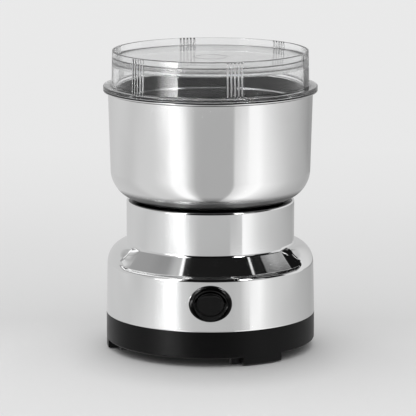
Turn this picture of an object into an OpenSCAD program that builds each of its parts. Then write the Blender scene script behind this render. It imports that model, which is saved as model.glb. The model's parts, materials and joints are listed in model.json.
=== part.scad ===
// Electric blade coffee grinder: clear lid, steel bowl, bright housing, black base, one push button.
// +Z is up, the table is z = 0, the button looks towards -Y, and +X is on the right.

/* [Base] */
// Outer radius of the black base and of the housing's foot
base_r = 56; // [54:0.5:58]
// Height of the base's visible band
base_band_h = 14.2; // [13:0.1:16]
// Height of the base's underside above the table
leg_h = 4.6; // [4.2:0.1:5.5]
// Wall thickness of the base
base_wall = 2.6; // [2.2:0.1:3]
// Thickness of the base's floor
base_floor_t = 2.4; // [2.2:0.1:2.8]
// Edge rounding at the bottom of the base and its legs
base_round = 0.8; // [0.4:0.1:1.5]
// Number of legs
leg_count = 3; // [3:1:4]
// Direction of the first leg, in degrees from the front towards +X
leg_turn = 30; // [20:1:40]
// Angle that each leg spans, in degrees
leg_span = 24; // [18:1:28]
// Radial depth of each leg
leg_depth = 5.8; // [5:0.1:6.5]
// How far the feet stand below the legs
pad_proud = 0.5; // [0.3:0.1:1]
// Angle that each rubber foot spans, in degrees
pad_span = 36; // [30:1:40]
// Radial width of each rubber foot
pad_w = 4.2; // [3.5:0.1:4.6]
// Depth of the pocket that holds a rubber foot
pad_pocket = 1; // [0.5:0.1:1.2]
// Height of the spigot that centres the housing on the base
spigot_h = 3; // [2.5:0.1:3.2]
// Thickness of that spigot
spigot_t = 2.4; // [2:0.1:2.8]
// Number of cooling slots in the floor
vent_count = 18; // [12:1:24]
// Width of a cooling slot
vent_w = 2.2; // [1.5:0.1:3]
// Radial length of a cooling slot
vent_l = 12; // [8:0.5:13]

/* [Housing] */
// Sheet thickness of the housing
shell_t = 1.2; // [1:0.1:1.4]
// Height of the lower wall
wall_h = 26.6; // [25.5:0.1:28]
// How much narrower the lower wall is at the shoulder than at its foot
wall_lean = 0.6; // [0:0.1:1]
// Height of the rounded shoulder
shoulder_h = 11.5; // [10.5:0.1:13]
// Outer radius of the neck
neck_r = 45; // [44:0.5:46.5]
// Height of the neck
neck_h = 23.2; // [22:0.1:25]
// Rounding of the neck's upper edge
neck_round = 1; // [0.5:0.1:1.1]
// Width of the flange that turns inwards at the top of the neck
neck_flange_w = 4; // [3:0.1:5]
// Half of the angle that the flat recess in the shoulder spans, in degrees
recess_half = 63; // [50:1:75]
// Width of the ledge under the recess
recess_lip = 2.6; // [1.8:0.1:3]
// Height of that ledge above the foot of the shoulder
recess_up = 2; // [1.4:0.1:2.6]

/* [Bowl] */
// Outer radius of the bowl at its mouth
bowl_r = 54.7; // [53:0.1:56.5]
// How much narrower the bowl is at its foot
bowl_taper = 1.2; // [0.6:0.1:2]
// Height of the bowl
bowl_h = 59.2; // [54:0.1:65]
// Radius of the bowl's rounded foot
bowl_corner_r = 16; // [14:0.5:17]
// Sheet thickness of the bowl
bowl_t = 0.8; // [0.6:0.1:1]
// Radius of the rolled bead on the rim
bead_r = 0.95; // [0.8:0.05:1.2]
// How far the bead stands out from the wall
bead_out = 2.5; // [2.2:0.1:3]
// Gap between the top of the neck and the bowl
seat_gap = 0.4; // [0.2:0.1:0.8]
// Height of the carrier's plateau inside the housing's flange
plateau_h = 0.6; // [0.4:0.1:0.9]
// Inner radius of the gasket under the bowl
gasket_in_r = 28; // [24:0.5:31]
// Outer radius of the gasket under the bowl
gasket_out_r = 36.8; // [34:0.1:37.2]
// Radius of the flanged hub that clamps the bowl
hub_r = 6.5; // [6.4:0.1:7]
// Radius of the hub's flange
hub_flange_r = 10; // [9:0.1:12]
// Thickness of the hub's flange
hub_flange_t = 2.2; // [1.8:0.1:2.6]

/* [Lid] */
// How far the lid's wall stands inside the bowl's outer radius
lid_inset = 2; // [1.6:0.1:2.6]
// Height of the lid above its flange's underside
lid_h = 20.5; // [18:0.1:24]
// Wall thickness of the lid
lid_wall = 2.2; // [1.8:0.1:2.6]
// How much narrower the lid is at its top
lid_draft = 0.4; // [0:0.1:0.8]
// Depth of the lid's top inside its rim
lid_rim_h = 3.9; // [2.5:0.1:4.5]
// Thickness of the rim
lid_rim_t = 1.2; // [1:0.1:1.8]
// Thickness of the lid's flat top
lid_top_t = 2.2; // [1.8:0.1:2.6]
// Thickness of the lid's flange
lid_flange_t = 1.7; // [1.4:0.1:2.2]
// Depth of the spigot that goes into the bowl
lid_spigot_h = 8.5; // [7:0.1:11]
// Number of groups of grip ribs
rib_groups = 6; // [4:1:8]
// Grip ribs in a group
ribs_in_group = 5; // [3:1:6]
// Angle between neighbouring ribs, in degrees
rib_pitch = 2.1; // [1.8:0.1:2.6]
// Width of a rib
rib_w = 1; // [0.8:0.1:1.2]
// How far a rib stands out
rib_proud = 0.5; // [0.3:0.1:0.9]
// Direction of the first group, in degrees from the front towards +X
rib_turn = 14; // [0:1:30]

/* [Switch] */
// Height of the button's middle above the base's band
switch_up = 15.3; // [14.8:0.1:15.8]
// Width of the oval bezel
bezel_w = 23.2; // [22:0.1:25]
// Height of the oval bezel
bezel_h = 19.5; // [19.2:0.1:21]
// How far the bezel stands out from the base's radius
bezel_proud = 2.4; // [2:0.1:3]
// Width of the push button
button_w = 15; // [13.5:0.1:15.2]
// Height of the push button
button_h = 12.6; // [11.5:0.1:13]
// How far the button's face lies behind the bezel's crest
button_sink = 1; // [0.6:0.1:1.4]
// Travel of the button
button_travel = 3; // [2.4:0.1:3.2]
// Outer radius of the switch's barrel
switch_r = 9; // [8.8:0.1:9.2]
// Wall thickness of the switch's barrel
switch_t = 1.2; // [1:0.1:1.3]
// Radius of the button's stem
stem_r = 2.5; // [2:0.1:2.8]
// Room for the return spring at rest
spring_l = 7.2; // [6.8:0.1:8]
// Wire radius of the return spring
spring_wire_r = 0.35; // [0.25:0.05:0.4]
// Turns of the return spring
spring_turns = 5; // [4:1:7]

/* [Motor] */
// Radius of the motor's shaft
shaft_r = 3; // [2.8:0.05:3.1]
// Width of the stator's laminations, left to right
stack_w = 58; // [55:0.5:60]
// Depth of the stator's laminations, front to back
stack_d = 50; // [48:0.5:51]
// Height of the stator's laminations
stack_h = 20; // [18:0.5:20.5]
// Radius that trims the stator's corners
stack_trim_r = 33; // [31:0.5:33.5]
// Radius of the armature
rotor_r = 15.8; // [15:0.1:16]
// Air gap between the armature and the poles
air_gap = 0.7; // [0.5:0.1:0.8]
// Number of slots in the armature
slot_count = 12; // [8:1:14]
// Height of the field coils' ends beyond the laminations
coil_end_h = 6.6; // [6:0.1:6.8]
// Thickness of a field coil
coil_t = 4.6; // [4:0.1:4.8]
// Radius of the commutator
commutator_r = 10; // [9.5:0.1:10.5]
// Length of the commutator
commutator_l = 11; // [10.5:0.1:11.2]
// Radius of the cooling fan
fan_r = 16.4; // [15:0.1:16.6]
// Height of the cooling fan
fan_h = 5; // [4.5:0.1:5.2]
// Number of fan blades
fan_blades = 9; // [7:1:13]
// Distance of the long motor bolts from the shaft
bolt_y = 21.5; // [21.2:0.1:21.8]
// Radius of the long motor bolts
bolt_r = 1.5; // [1.4:0.05:1.6]
// Radius of the screws that hold the base
screw_r = 2; // [1.8:0.1:2.2]

/* [Blade] */
// Reach of the grinding blade
blade_r = 33; // [30:0.5:35]
// Width of the blade at its middle
blade_w = 12; // [10:0.5:14]
// Width of the blade at its tips
blade_tip_w = 8; // [7:0.5:9]
// Thickness of the blade
blade_t = 1.6; // [1.2:0.1:2]
// Twist of each wing, in degrees
blade_pitch = 18; // [10:1:22]
// Height of the blade above the hub
blade_up = 3.5; // [3:0.1:4.5]

/* [Hidden] */

// Steps of an arc in an outline, and points in a spring's turn
arc_steps = 12;
coil_steps = 12;
$fn = 96;

// Clearances
fit = 0.3;
slide_fit = 0.15;
running_fit = 0.05;
press_fit = 0.02;
panel_fit = 0.1;

// How far a cut runs past the face that it opens
over = 1;

// Room at each end of a spring
spring_gap = 0.1;

// Heights of the base and the housing
base_top = leg_h + base_band_h;
floor_top = leg_h + base_floor_t;
shoulder_z = base_top + wall_h;
neck_z = shoulder_z + shoulder_h;
neck_top = neck_z + neck_h;
wall_top_r = base_r - wall_lean;
spigot_out = base_r - shell_t - fit;
spigot_foot = 1;

// Legs and feet
leg_in_r = base_r - leg_depth;
pad_out_r = leg_in_r - fit;
pad_in_r = pad_out_r - pad_w;
leg_low = pad_proud;

// Carrier under the bowl, hung inside the neck
deck_top = neck_top - shell_t;
deck_t = 3.5;
deck_under = deck_top - deck_t;
deck_r = neck_r - shell_t - fit;
flange_in_r = neck_r - neck_flange_w;
plateau_r = flange_in_r - fit;
plateau_z = deck_top + plateau_h;
hub_boss_r = 12;
hub_boss_h = 3;
hub_boss_z = deck_under - hub_boss_h;

// Columns that join the base to the carrier
column_r = 4.4;
column_at = deck_r - column_r - 0.6;
post_r = 5.2;
post_h = 13;
post_top = floor_top + post_h;
column_low = post_top + fit;
screw_head_r = 1.9 * screw_r;
screw_head_h = 2.6;
screw_sink = 4;
screw_grip = 14;
hole_rest = 2;
drive_slot_w = 0.8;
drive_slot_h = 1.4;
vent_in_r = 14;

// Bowl and its hub
bowl_z = neck_top + seat_gap;
rim_z = bowl_z + bowl_h;
rim_r = bowl_r + bead_out;
bowl_low_r = bowl_r - bowl_taper;
bowl_in = bowl_z + bowl_t;
hub_nut_h = 3.5;
hub_nut_z = hub_boss_z - hub_nut_h;
hub_nut_r = 10.5;
hub_end = 0.9;
hub_low = hub_nut_z - hub_end;
bearing_t = 2;
hub_bore_r = shaft_r + bearing_t;
hub_top = bowl_in + hub_flange_t;
bearing_h = 8;
bearing_z = hub_low + hub_end / 2;
seal_h = 3;
seal_sink = 1;
seal_z = hub_top - seal_sink - seal_h;

// Lid
lid_z = rim_z + 0.2;
lid_top = lid_z + lid_h;
lid_wall_r = bowl_r - lid_inset;
lid_in_r = lid_wall_r - lid_wall;
lid_disc_z = lid_top - lid_rim_h;
lid_spigot_r = bowl_r - bowl_t - 2 * fit;
rib_low_z = lid_z + lid_flange_t / 2;
rib_root_r = lid_wall_r - lid_draft - lid_rim_t / 2;
rib_stop = 0.5;

// Motor, hung from the carrier
fan_top = hub_low - air_gap;
fan_z = fan_top - fan_h;
fan_disc_t = 1.2;
fan_hub_t = 2.4;
fan_blade_t = 1;
fan_blade_lean = 14;
coil_top = fan_z - air_gap;
stack_top = coil_top - coil_end_h;
stack_z = stack_top - stack_h;
coil_low = stack_z - coil_end_h;
bore_r = rotor_r + air_gap;
pole_tip_r = bore_r + 2.1;
pole_half_h = 9.5;
pole_tip_angle = 50;
yoke_side = 5;
yoke_end = 7.4;
coil_out_x = stack_w / 2 - yoke_side - 0.5;
coil_in_x = coil_out_x - coil_t;
coil_window_y = pole_half_h + fit;
coil_out_y = stack_d / 2 - yoke_end - 0.6;
coil_corner_r = 5;
winding_end_h = 5;
winding_r = rotor_r - 1;
winding_in_r = shaft_r + 0.5;
winding_corner_r = 1.8;
slot_r = 2.2;
slot_cover = 2.1;
slot_at = rotor_r - slot_r - slot_cover;
slot_mouth = 1.6;
slot_liner = 0.2;

// Commutator, brushes and lower bracket
riser_h = 0.6;
riser_r = commutator_r + 1;
bar_depth = 0.8;
bar_gap = 0.6;
commutator_top = stack_z - winding_end_h - riser_h;
commutator_z = commutator_top - commutator_l;
brush_w = 5.6;
brush_h = 5.1;
brush_l = 9.5;
brush_crown = 0.5;
holder_t = 0.6;
holder_w = brush_w + 2 * (holder_t + slide_fit);
holder_h = brush_h + 2 * (holder_t + slide_fit);
block_wall = 0.6;
block_side = 2.6;
block_l = 13;
block_top = coil_low - 0.5;
block_h = holder_h + 2 * block_wall;
brush_z = block_top - block_h / 2;
block_w = holder_w + 2 * block_side;
brush_in_x = commutator_r + fit;
holder_in_x = commutator_r + 2;
block_in_x = holder_in_x + 1;
block_out_x = block_in_x + block_l;
holder_lip = 1.2;
holder_out_x = block_out_x + holder_lip;
brush_spring_r = 1.7;
brush_spring_wire_r = 0.3;
brush_spring_turns = 4;
bracket_plate_t = 3;
bracket_arm_w = 12;
block_drop = 4.2;
bracket_plate_top = block_top - block_h - block_drop;
bracket_plate_z = bracket_plate_top - bracket_plate_t;
bracket_boss_top = commutator_z - 0.5;
bracket_boss_r = 9;
bush_t = 3;
bush_r = shaft_r + bush_t;
bush_h = 5.4;
bush_top = bracket_boss_top - 0.6;
bush_z = bush_top - bush_h;
thrust_pad_t = 0.6;
shaft_low = bush_z + 0.1;
thrust_pad_top = shaft_low - 0.2;
bracket_boss_z = thrust_pad_top - thrust_pad_t - 1.2;
bolt_post_r = 4;
bolt_head_r = 2.8;
bolt_head_h = 2.6;
bolt_grip = 8;
bolt_play = 0.2;

// Blade on the shaft
spacer_r = shaft_r + 1.4;
spacer_z = hub_top + 0.4;
blade_z = hub_top + blade_up;
blade_boss_r = blade_w / 2 + 1.5;
thread_r = shaft_r - 0.5;
nut_z = blade_z + blade_t;
nut_h = 4;
nut_r = 5.2;
dome_r = 4.2;
shaft_top = nut_z + nut_h - 0.6;

// Switch, centred on the front wall
switch_z = base_top + switch_up;
bezel_front = -(base_r + bezel_proud);
button_front = bezel_front + button_sink;
opening_w = button_w + 0.2;
opening_h = button_h + 0.2;
switch_in_r = switch_r - switch_t;
lip_in = 2.4;
lip_back = -(base_r - lip_in);
catch_front = lip_back + 0.2;
catch_t = 1.4;
catch_back = catch_front + catch_t;
stem_fit = 0.2;
catch_r = switch_in_r - stem_fit;
rest_front = catch_back + 0.1 + spring_l;
rest_t = 1.4;
rest_back = rest_front + rest_t;
bridge_front = rest_back + 0.4;
bridge_t = 0.8;
bridge_w = 11;
rivet_h = 0.4;
contact_front = bridge_front + bridge_t + button_travel + 0.3;
contact_t = 0.8;
contact_w = 3;
contact_h = 4;
cover_front = contact_front + contact_t + 0.7;
cover_t = 2;
cover_rim_h = 0.5;
tab_x = 4.2;
tab_t = 0.8;
tab_w = 4.8;
tab_l = 4;
tab_back = cover_front + cover_t + tab_l;
nut_front = -(base_r - shell_t - 1.9);
switch_nut_t = 2.5;
switch_nut_r = 12;

// Inlet for the cord in the base's back wall
gland_up = 8.3;
gland_z = leg_h + gland_up;
gland_r = 4.5;
gland_bore_r = 3.4;
gland_flange_r = 5.7;
gland_out = base_r + bezel_proud;
gland_notch_r = 7;
gland_notch_l = 9;
gland_flange_t = 1.5;

// Routes of the two inner leads, from a switch tab and from the left brush
lead_r = 1;
lead_a = [[tab_x + tab_t / 2 + lead_r, tab_back - tab_l / 2, switch_z], [6, -26.9, switch_z - 4],
    [9, -27, switch_z - 8.5], [16, -22, brush_z], [24, -12.5, brush_z - 0.5],
    [holder_out_x + 2.2, -7, brush_z], [holder_out_x + 1.6, -1.5, brush_z]];
lead_b = [[-(holder_out_x + 1.6), -1.5, brush_z], [-(holder_out_x + 2.4), -8, brush_z - 0.5],
    [-(holder_out_x + 0.2), -15, brush_z + 0.5], [-(coil_out_x - 1.2), -coil_out_y - 1.3, coil_low + 2],
    [-(coil_out_x - coil_t / 2), -coil_out_y - 1.2, coil_low + 5]];

// Points on a circle's or an ellipse's arc, in the plane of an outline
function arc(c, ra, rb, a0, a1) =
    [for (i = [0:arc_steps]) let (a = a0 + (a1 - a0) * i / arc_steps)
        [c[0] + ra * cos(a), c[1] + rb * sin(a)]];

function unit(v) = v / norm(v);

// Direction of a route at one of its points
function heading(p, i) =
    unit(p[min(i + 1, len(p) - 1)] - p[max(i - 1, 0)]);

// A point on a smooth curve through four points, between the middle two
function between(a, b, c, d, t) =
    0.5 * ((2 * b) + (c - a) * t + (2 * a - 5 * b + 4 * c - d) * t * t
        + (3 * b - a - 3 * c + d) * t * t * t);

// A route's points with more laid smoothly between them
function smooth(p, steps) =
    [for (i = [0:len(p) - 2], k = [0:steps - 1])
        between(p[max(i - 1, 0)], p[i], p[i + 1], p[min(i + 2, len(p) - 1)], k / steps),
     p[len(p) - 1]];

// A spring's centreline along +Y
function coil_path(coil_r, length, turns) =
    [for (i = [0:turns * coil_steps]) let (a = 360 * i / coil_steps)
        [coil_r * cos(a), length * i / (turns * coil_steps), coil_r * sin(a)]];

// Least gap between a spring's turns, from points that lie half a turn apart or more
function least_gap(p, wire_r) =
    min([for (i = [0:len(p) - 1], k = [i + coil_steps / 2:1:len(p) - 1]) norm(p[k] - p[i])]) - 2 * wire_r;

// A round tube along a route, closed at both ends
module tube(p, r, sides, side_axis) {
    n = len(p);
    rings = [for (i = [0:n - 1])
        let (t = heading(p, i), u = unit(cross(t, side_axis)), v = cross(t, u))
            for (k = [0:sides - 1])
                p[i] + r * (cos(360 * k / sides) * u + sin(360 * k / sides) * v)];
    walls = [for (i = [0:n - 2], k = [0:sides - 1])
        let (a = i * sides + k, b = i * sides + (k + 1) % sides)
            each [[a, a + sides, b], [b, a + sides, b + sides]]];
    ends = [for (k = [1:sides - 2])
        each [[0, k, k + 1], [(n - 1) * sides, (n - 1) * sides + k + 1, (n - 1) * sides + k]]];
    polyhedron(points = rings, faces = concat(walls, ends));
}

// Repeats its children round the Z axis
module around(count, first) {
    for (i = [0:count - 1])
        rotate([0, 0, first + 360 * i / count])
            children();
}

// Turns a thing drawn along +X into a direction given from the front towards +X
module facing(angle) {
    rotate([0, 0, angle - 90])
        children();
}

// A cylinder from y0 to y1 along +Y, at the switch's height
module along_y(r, y0, y1, z = switch_z) {
    translate([0, y0, z])
        rotate([-90, 0, 0])
            cylinder(r = r, h = y1 - y0);
}

// An oval prism from y0 to y1 at the switch's height
module oval(w, h, y0, y1) {
    translate([0, y1, switch_z])
        rotate([90, 0, 0])
            linear_extrude(y1 - y0)
                polygon([for (i = [0:71]) [w / 2 * cos(5 * i), h / 2 * sin(5 * i)]]);
}

// A ring between two radii and two heights
module ring(r_in, r_out, z0, z1) {
    translate([0, 0, z0])
        difference() {
            cylinder(r = r_out, h = z1 - z0);
            translate([0, 0, -over])
                cylinder(r = r_in, h = z1 - z0 + 2 * over);
        }
}

// A rod standing on z0
module rod(r, z0, z1) {
    translate([0, 0, z0])
        cylinder(r = r, h = z1 - z0);
}

// A rectangle with round corners, centred
module round_rect(w, h, r) {
    square([w - 2 * r, h], center = true);
    square([w, h - 2 * r], center = true);
    for (x = [-1, 1], y = [-1, 1])
        translate([x * (w / 2 - r), y * (h / 2 - r)])
            circle(r = r);
}

// Base: a black moulding with a floor, a locating spigot, legs and screw posts
module base_ring() {
    spigot_in = spigot_out - spigot_t;
    wall_in = base_r - base_wall;
    rotate_extrude()
        polygon(concat(
            [[0, leg_h]],
            arc([base_r - base_round, leg_h + base_round], base_round, base_round, -90, 0),
            [[base_r, base_top], [spigot_out, base_top], [spigot_out, base_top + spigot_h],
             [spigot_in, base_top + spigot_h], [spigot_in, base_top - spigot_foot],
             [wall_in, base_top - spigot_foot - (wall_in - spigot_in)], [wall_in, floor_top],
             [0, floor_top]]));
}

module leg() {
    rotate([0, 0, -leg_span / 2])
        rotate_extrude(angle = leg_span)
            polygon(concat(
                [[leg_in_r, leg_low]],
                arc([base_r - base_round, leg_low + base_round], base_round, base_round, -90, 0),
                [[base_r, floor_top], [leg_in_r, floor_top]]));
}

module base() {
    color([0.08, 0.08, 0.085])
        difference() {
            union() {
                base_ring();
                around(leg_count, 0)
                    facing(leg_turn)
                        leg();
                around(3, 0)
                    facing(leg_turn)
                        translate([column_at, 0, 0])
                            rod(post_r, leg_h + base_floor_t / 4, post_top);
            }
            around(3, 0)
                facing(leg_turn)
                    translate([column_at, 0, 0]) {
                        rod(screw_r + bolt_play, 0, post_top + over);
                        rod(screw_head_r + fit, 0, leg_h + screw_sink);
                    }
            around(leg_count, 0)
                facing(leg_turn)
                    rotate([0, 0, -pad_span / 2])
                        rotate_extrude(angle = pad_span)
                            translate([pad_in_r - slide_fit, leg_h - over])
                                square([pad_w + 2 * slide_fit, over + pad_pocket]);
            around(vent_count, 10)
                translate([vent_in_r, -vent_w / 2, 0])
                    cube([vent_l, vent_w, floor_top + over]);
            along_y(gland_r + press_fit, base_r - gland_notch_l, base_r + over, gland_z);
            along_y(gland_notch_r, base_r - gland_notch_l, base_r - base_wall, gland_z);
        }
}

module foot_pads() {
    color([0.12, 0.12, 0.12])
        around(leg_count, 0)
            facing(leg_turn)
                rotate([0, 0, -(pad_span - 1) / 2])
                    rotate_extrude(angle = pad_span - 1)
                        translate([pad_in_r, 0])
                            square([pad_w, leg_h + pad_pocket]);
}

module base_screws() {
    head_z = leg_h + screw_sink - screw_head_h;
    color([0.6, 0.6, 0.62])
        around(3, 0)
            facing(leg_turn)
                translate([column_at, 0, 0])
                    difference() {
                        union() {
                            rod(screw_head_r, head_z, leg_h + screw_sink);
                            rod(screw_r - press_fit, head_z, column_low + screw_grip);
                        }
                        for (a = [0, 90])
                            rotate([0, 0, a])
                                translate([-screw_r, -drive_slot_w / 2, head_z - over])
                                    cube([2 * screw_r, drive_slot_w, over + drive_slot_h]);
                    }
}

// Cord inlet: a rubber grommet in the back wall
module cord_gland() {
    wall_in = base_r - base_wall;
    inner_face = sqrt(pow(wall_in, 2) - pow(gland_flange_r, 2));
    color([0.1, 0.1, 0.1])
        difference() {
            union() {
                along_y(gland_r, inner_face - gland_flange_t, gland_out, gland_z);
                along_y(gland_flange_r, inner_face - gland_flange_t, inner_face - press_fit, gland_z);
                difference() {
                    along_y(gland_flange_r, base_r - gland_flange_t, gland_out, gland_z);
                    rod(base_r + running_fit, 0, base_top + spigot_h);
                }
            }
            along_y(gland_bore_r, base_r - gland_notch_l, gland_out + over, gland_z);
        }
}

// Outline of the housing at a distance inside its outer surface
function housing_side(inset) = concat(
    [[base_r - inset, base_top], [wall_top_r - inset, shoulder_z]],
    arc([neck_r, shoulder_z], wall_top_r - neck_r - inset, shoulder_h - inset, 0, 90));

module housing_outside() {
    rotate_extrude()
        polygon(concat(
            [[0, base_top]],
            housing_side(0),
            arc([neck_r - neck_round, neck_top - neck_round], neck_round, neck_round, 0, 90),
            [[0, neck_top]]));
}

module housing_inside() {
    rotate_extrude()
        polygon(concat(
            [[0, base_top - over], [base_r - shell_t, base_top - over]],
            housing_side(shell_t),
            [[neck_r - shell_t, neck_z - shell_t], [neck_r - shell_t, deck_top], [0, deck_top]]));
}

// The flat recess cut into the front of the shoulder, moved inwards for the inner surface
module recess_cut(inset, half) {
    low_z = shoulder_z + recess_up;
    low_r = neck_r + (wall_top_r - neck_r) * sqrt(1 - pow(recess_up / shoulder_h, 2)) - recess_lip;
    run = [low_r - neck_r, low_z - neck_z];
    shift = inset * [run[1], -run[0]] / norm(run);
    top = [neck_r, neck_z] + shift;
    low = top + run * (top[1] - low_z + inset) / (neck_z - low_z);
    far = base_r + over;
    rotate([0, 0, -90 - half])
        rotate_extrude(angle = 2 * half)
            polygon([top, low, [far, low[1]], [far, neck_z + over], [neck_r, neck_z + over]]);
}

module housing() {
    end_angle = asin(shell_t / wall_top_r);
    color([0.83, 0.84, 0.86])
        difference() {
            housing_outside();
            recess_cut(0, recess_half);
            difference() {
                housing_inside();
                recess_cut(shell_t, recess_half + end_angle);
            }
            rod(flange_in_r, deck_top - over, neck_top + over);
            along_y(switch_r + panel_fit, -base_r - over, lip_back + over);
        }
}

// Carrier: the deck under the bowl, with the columns for the base and the motor's posts
module carrier() {
    color([0.11, 0.11, 0.12])
        difference() {
            union() {
                rod(deck_r, deck_under, deck_top);
                rod(plateau_r, deck_under, plateau_z);
                rod(hub_boss_r, hub_boss_z, deck_top);
                around(3, 0)
                    facing(leg_turn)
                        translate([column_at, 0, 0])
                            rod(column_r, column_low, deck_top);
                for (y = [-1, 1])
                    translate([0, y * bolt_y, 0])
                        rod(bolt_post_r, stack_top, deck_top);
            }
            rod(hub_r + panel_fit, hub_boss_z - over, plateau_z + over);
            around(3, 0)
                facing(leg_turn)
                    translate([column_at, 0, 0])
                        rod(screw_r, column_low - over, column_low + screw_grip + hole_rest);
            for (y = [-1, 1])
                translate([0, y * bolt_y, 0])
                    rod(bolt_r, stack_top - over, stack_top + bolt_grip + hole_rest);
        }
}

module seat_gasket() {
    color([0.07, 0.07, 0.07])
        ring(gasket_in_r, gasket_out_r, plateau_z, bowl_z);
}

// Bowl: a drawn steel cup with a rolled rim
module bowl() {
    foot = [bowl_low_r - bowl_corner_r, bowl_z + bowl_corner_r];
    inner_r = bowl_corner_r - bowl_t;
    color([0.78, 0.79, 0.8])
        rotate_extrude() {
            polygon(concat(
                [[hub_r + panel_fit, bowl_z]],
                arc(foot, bowl_corner_r, bowl_corner_r, -90, 0),
                [[bowl_r, rim_z], [bowl_r - bowl_t, rim_z]],
                arc(foot, inner_r, inner_r, 0, -90),
                [[hub_r + panel_fit, bowl_in]]));
            translate([bowl_r - bowl_t, rim_z - bowl_t])
                square([bead_out + bowl_t - bead_r, bowl_t]);
            translate([rim_r - bead_r, rim_z - bead_r])
                circle(r = bead_r);
        }
}

// Hub: a flanged brass bush that clamps the bowl to the carrier and holds the upper bearing
module bowl_hub() {
    color([0.72, 0.6, 0.32])
        difference() {
            union() {
                rod(hub_r, hub_low, hub_top);
                rod(hub_flange_r, bowl_in, hub_top);
            }
            rod(hub_bore_r, hub_low - over, hub_top + over);
        }
}

module hub_nut() {
    color([0.65, 0.66, 0.68])
        difference() {
            translate([0, 0, hub_nut_z])
                cylinder(r = hub_nut_r, h = hub_nut_h, $fn = 6);
            rod(hub_r + press_fit, hub_nut_z - over, hub_boss_z + over);
        }
}

module shaft_seal() {
    color([0.1, 0.1, 0.1])
        ring(shaft_r + running_fit, hub_bore_r - press_fit, seal_z, seal_z + seal_h);
}

module upper_bearing() {
    color([0.62, 0.47, 0.25])
        ring(shaft_r + running_fit, hub_bore_r - press_fit, bearing_z, bearing_z + bearing_h);
}

// Lower bracket: the moulding under the motor that holds the lower bush and the brush holders
module lower_bracket() {
    channel_w = holder_w + 2 * press_fit;
    channel_h = holder_h + 2 * press_fit;
    color([0.2, 0.15, 0.1])
        difference() {
            union() {
                rod(bracket_boss_r, bracket_boss_z, bracket_boss_top);
                translate([-bracket_arm_w / 2, -bolt_y - bolt_post_r, bracket_plate_z])
                    cube([bracket_arm_w, 2 * (bolt_y + bolt_post_r), bracket_plate_t]);
                translate([-block_out_x, -block_w / 2, bracket_plate_z])
                    cube([2 * block_out_x, block_w, bracket_plate_t]);
                for (x = [-1, 1])
                    translate([x * (block_in_x + block_out_x) / 2, 0, (bracket_plate_z + block_top) / 2])
                        cube([block_l, block_w, block_top - bracket_plate_z], center = true);
                for (y = [-1, 1])
                    translate([0, y * bolt_y, 0])
                        rod(bolt_post_r, bracket_plate_z, stack_z);
            }
            rod(bush_r, thrust_pad_top - thrust_pad_t, bracket_boss_top + over);
            for (x = [-1, 1])
                translate([x * (block_in_x + block_out_x) / 2, 0, brush_z])
                    cube([block_l + 2 * over, channel_w, channel_h], center = true);
            for (y = [-1, 1])
                translate([0, y * bolt_y, 0])
                    rod(bolt_r + bolt_play, bracket_plate_z - over, stack_z + over);
        }
}

module lower_bearing() {
    color([0.62, 0.47, 0.25])
        ring(shaft_r + running_fit, bush_r - press_fit, bush_z, bush_top);
}

module thrust_pad() {
    color([0.85, 0.83, 0.75])
        rod(bush_r - press_fit, thrust_pad_top - thrust_pad_t, thrust_pad_top);
}

// Laminations: two poles, left and right, with a coil window over and under each
module stator_outline() {
    difference() {
        intersection() {
            square([stack_w, stack_d], center = true);
            circle(r = stack_trim_r);
        }
        circle(r = bore_r);
        for (y = [-1, 1])
            translate([0, y * (pole_half_h + stack_d / 2 - yoke_end) / 2])
                square([stack_w - 2 * yoke_side, stack_d / 2 - yoke_end - pole_half_h], center = true);
        for (y = [-1, 1])
            translate([0, y * bolt_y])
                circle(r = bolt_r + bolt_play);
    }
    intersection() {
        difference() {
            circle(r = pole_tip_r);
            circle(r = bore_r);
        }
        for (x = [-1, 1])
            polygon([[0, 0], x * stack_w * [cos(pole_tip_angle), sin(pole_tip_angle)],
                x * stack_w * [cos(pole_tip_angle), -sin(pole_tip_angle)]]);
    }
}

module stator_core() {
    color([0.42, 0.43, 0.45])
        translate([0, 0, stack_z])
            linear_extrude(stack_h)
                stator_outline();
}

module field_coils() {
    height = coil_top - coil_low;
    color([0.65, 0.35, 0.15])
        for (side = [-1, 1])
            translate([side * (coil_in_x + coil_out_x) / 2 - coil_t / 2, 0, (coil_top + coil_low) / 2])
                rotate([90, 0, 90])
                    linear_extrude(coil_t)
                        difference() {
                            round_rect(2 * coil_out_y, height, coil_corner_r);
                            square([2 * coil_window_y, stack_h + 2 * fit], center = true);
                        }
}

// Brass tubes that guide the brushes, closed at their outer ends
module brush_holders() {
    length = holder_out_x - holder_in_x;
    color([0.75, 0.62, 0.3])
        for (side = [-1, 1])
            difference() {
                translate([side * (holder_in_x + holder_out_x) / 2, 0, brush_z])
                    cube([length, holder_w, holder_h], center = true);
                translate([side * ((holder_in_x + holder_out_x) / 2 - holder_lip), 0, brush_z])
                    cube([length, holder_w - 2 * holder_t, holder_h - 2 * holder_t], center = true);
            }
}

module carbon_brushes() {
    color([0.15, 0.15, 0.16])
        for (side = [-1, 1])
            difference() {
                translate([side * (brush_in_x + brush_l / 2), 0, brush_z])
                    cube([brush_l + 2 * brush_crown, brush_w, brush_h], center = true);
                rod(brush_in_x, brush_z - brush_h, brush_z + brush_h);
            }
}

module brush_springs() {
    seat = brush_spring_wire_r + spring_gap;
    inner = brush_in_x + brush_l + brush_crown + seat;
    path = coil_path(brush_spring_r, holder_out_x - holder_lip - seat - inner, brush_spring_turns);
    echo(least_gap_of_a_brush_spring = least_gap(path, brush_spring_wire_r));
    color([0.7, 0.7, 0.72])
        for (side = [-1, 1])
            rotate([0, 0, side > 0 ? -90 : 90])
                translate([0, inner, brush_z])
                    tube(path, brush_spring_wire_r, 6, [0, 1, 0]);
}

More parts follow.
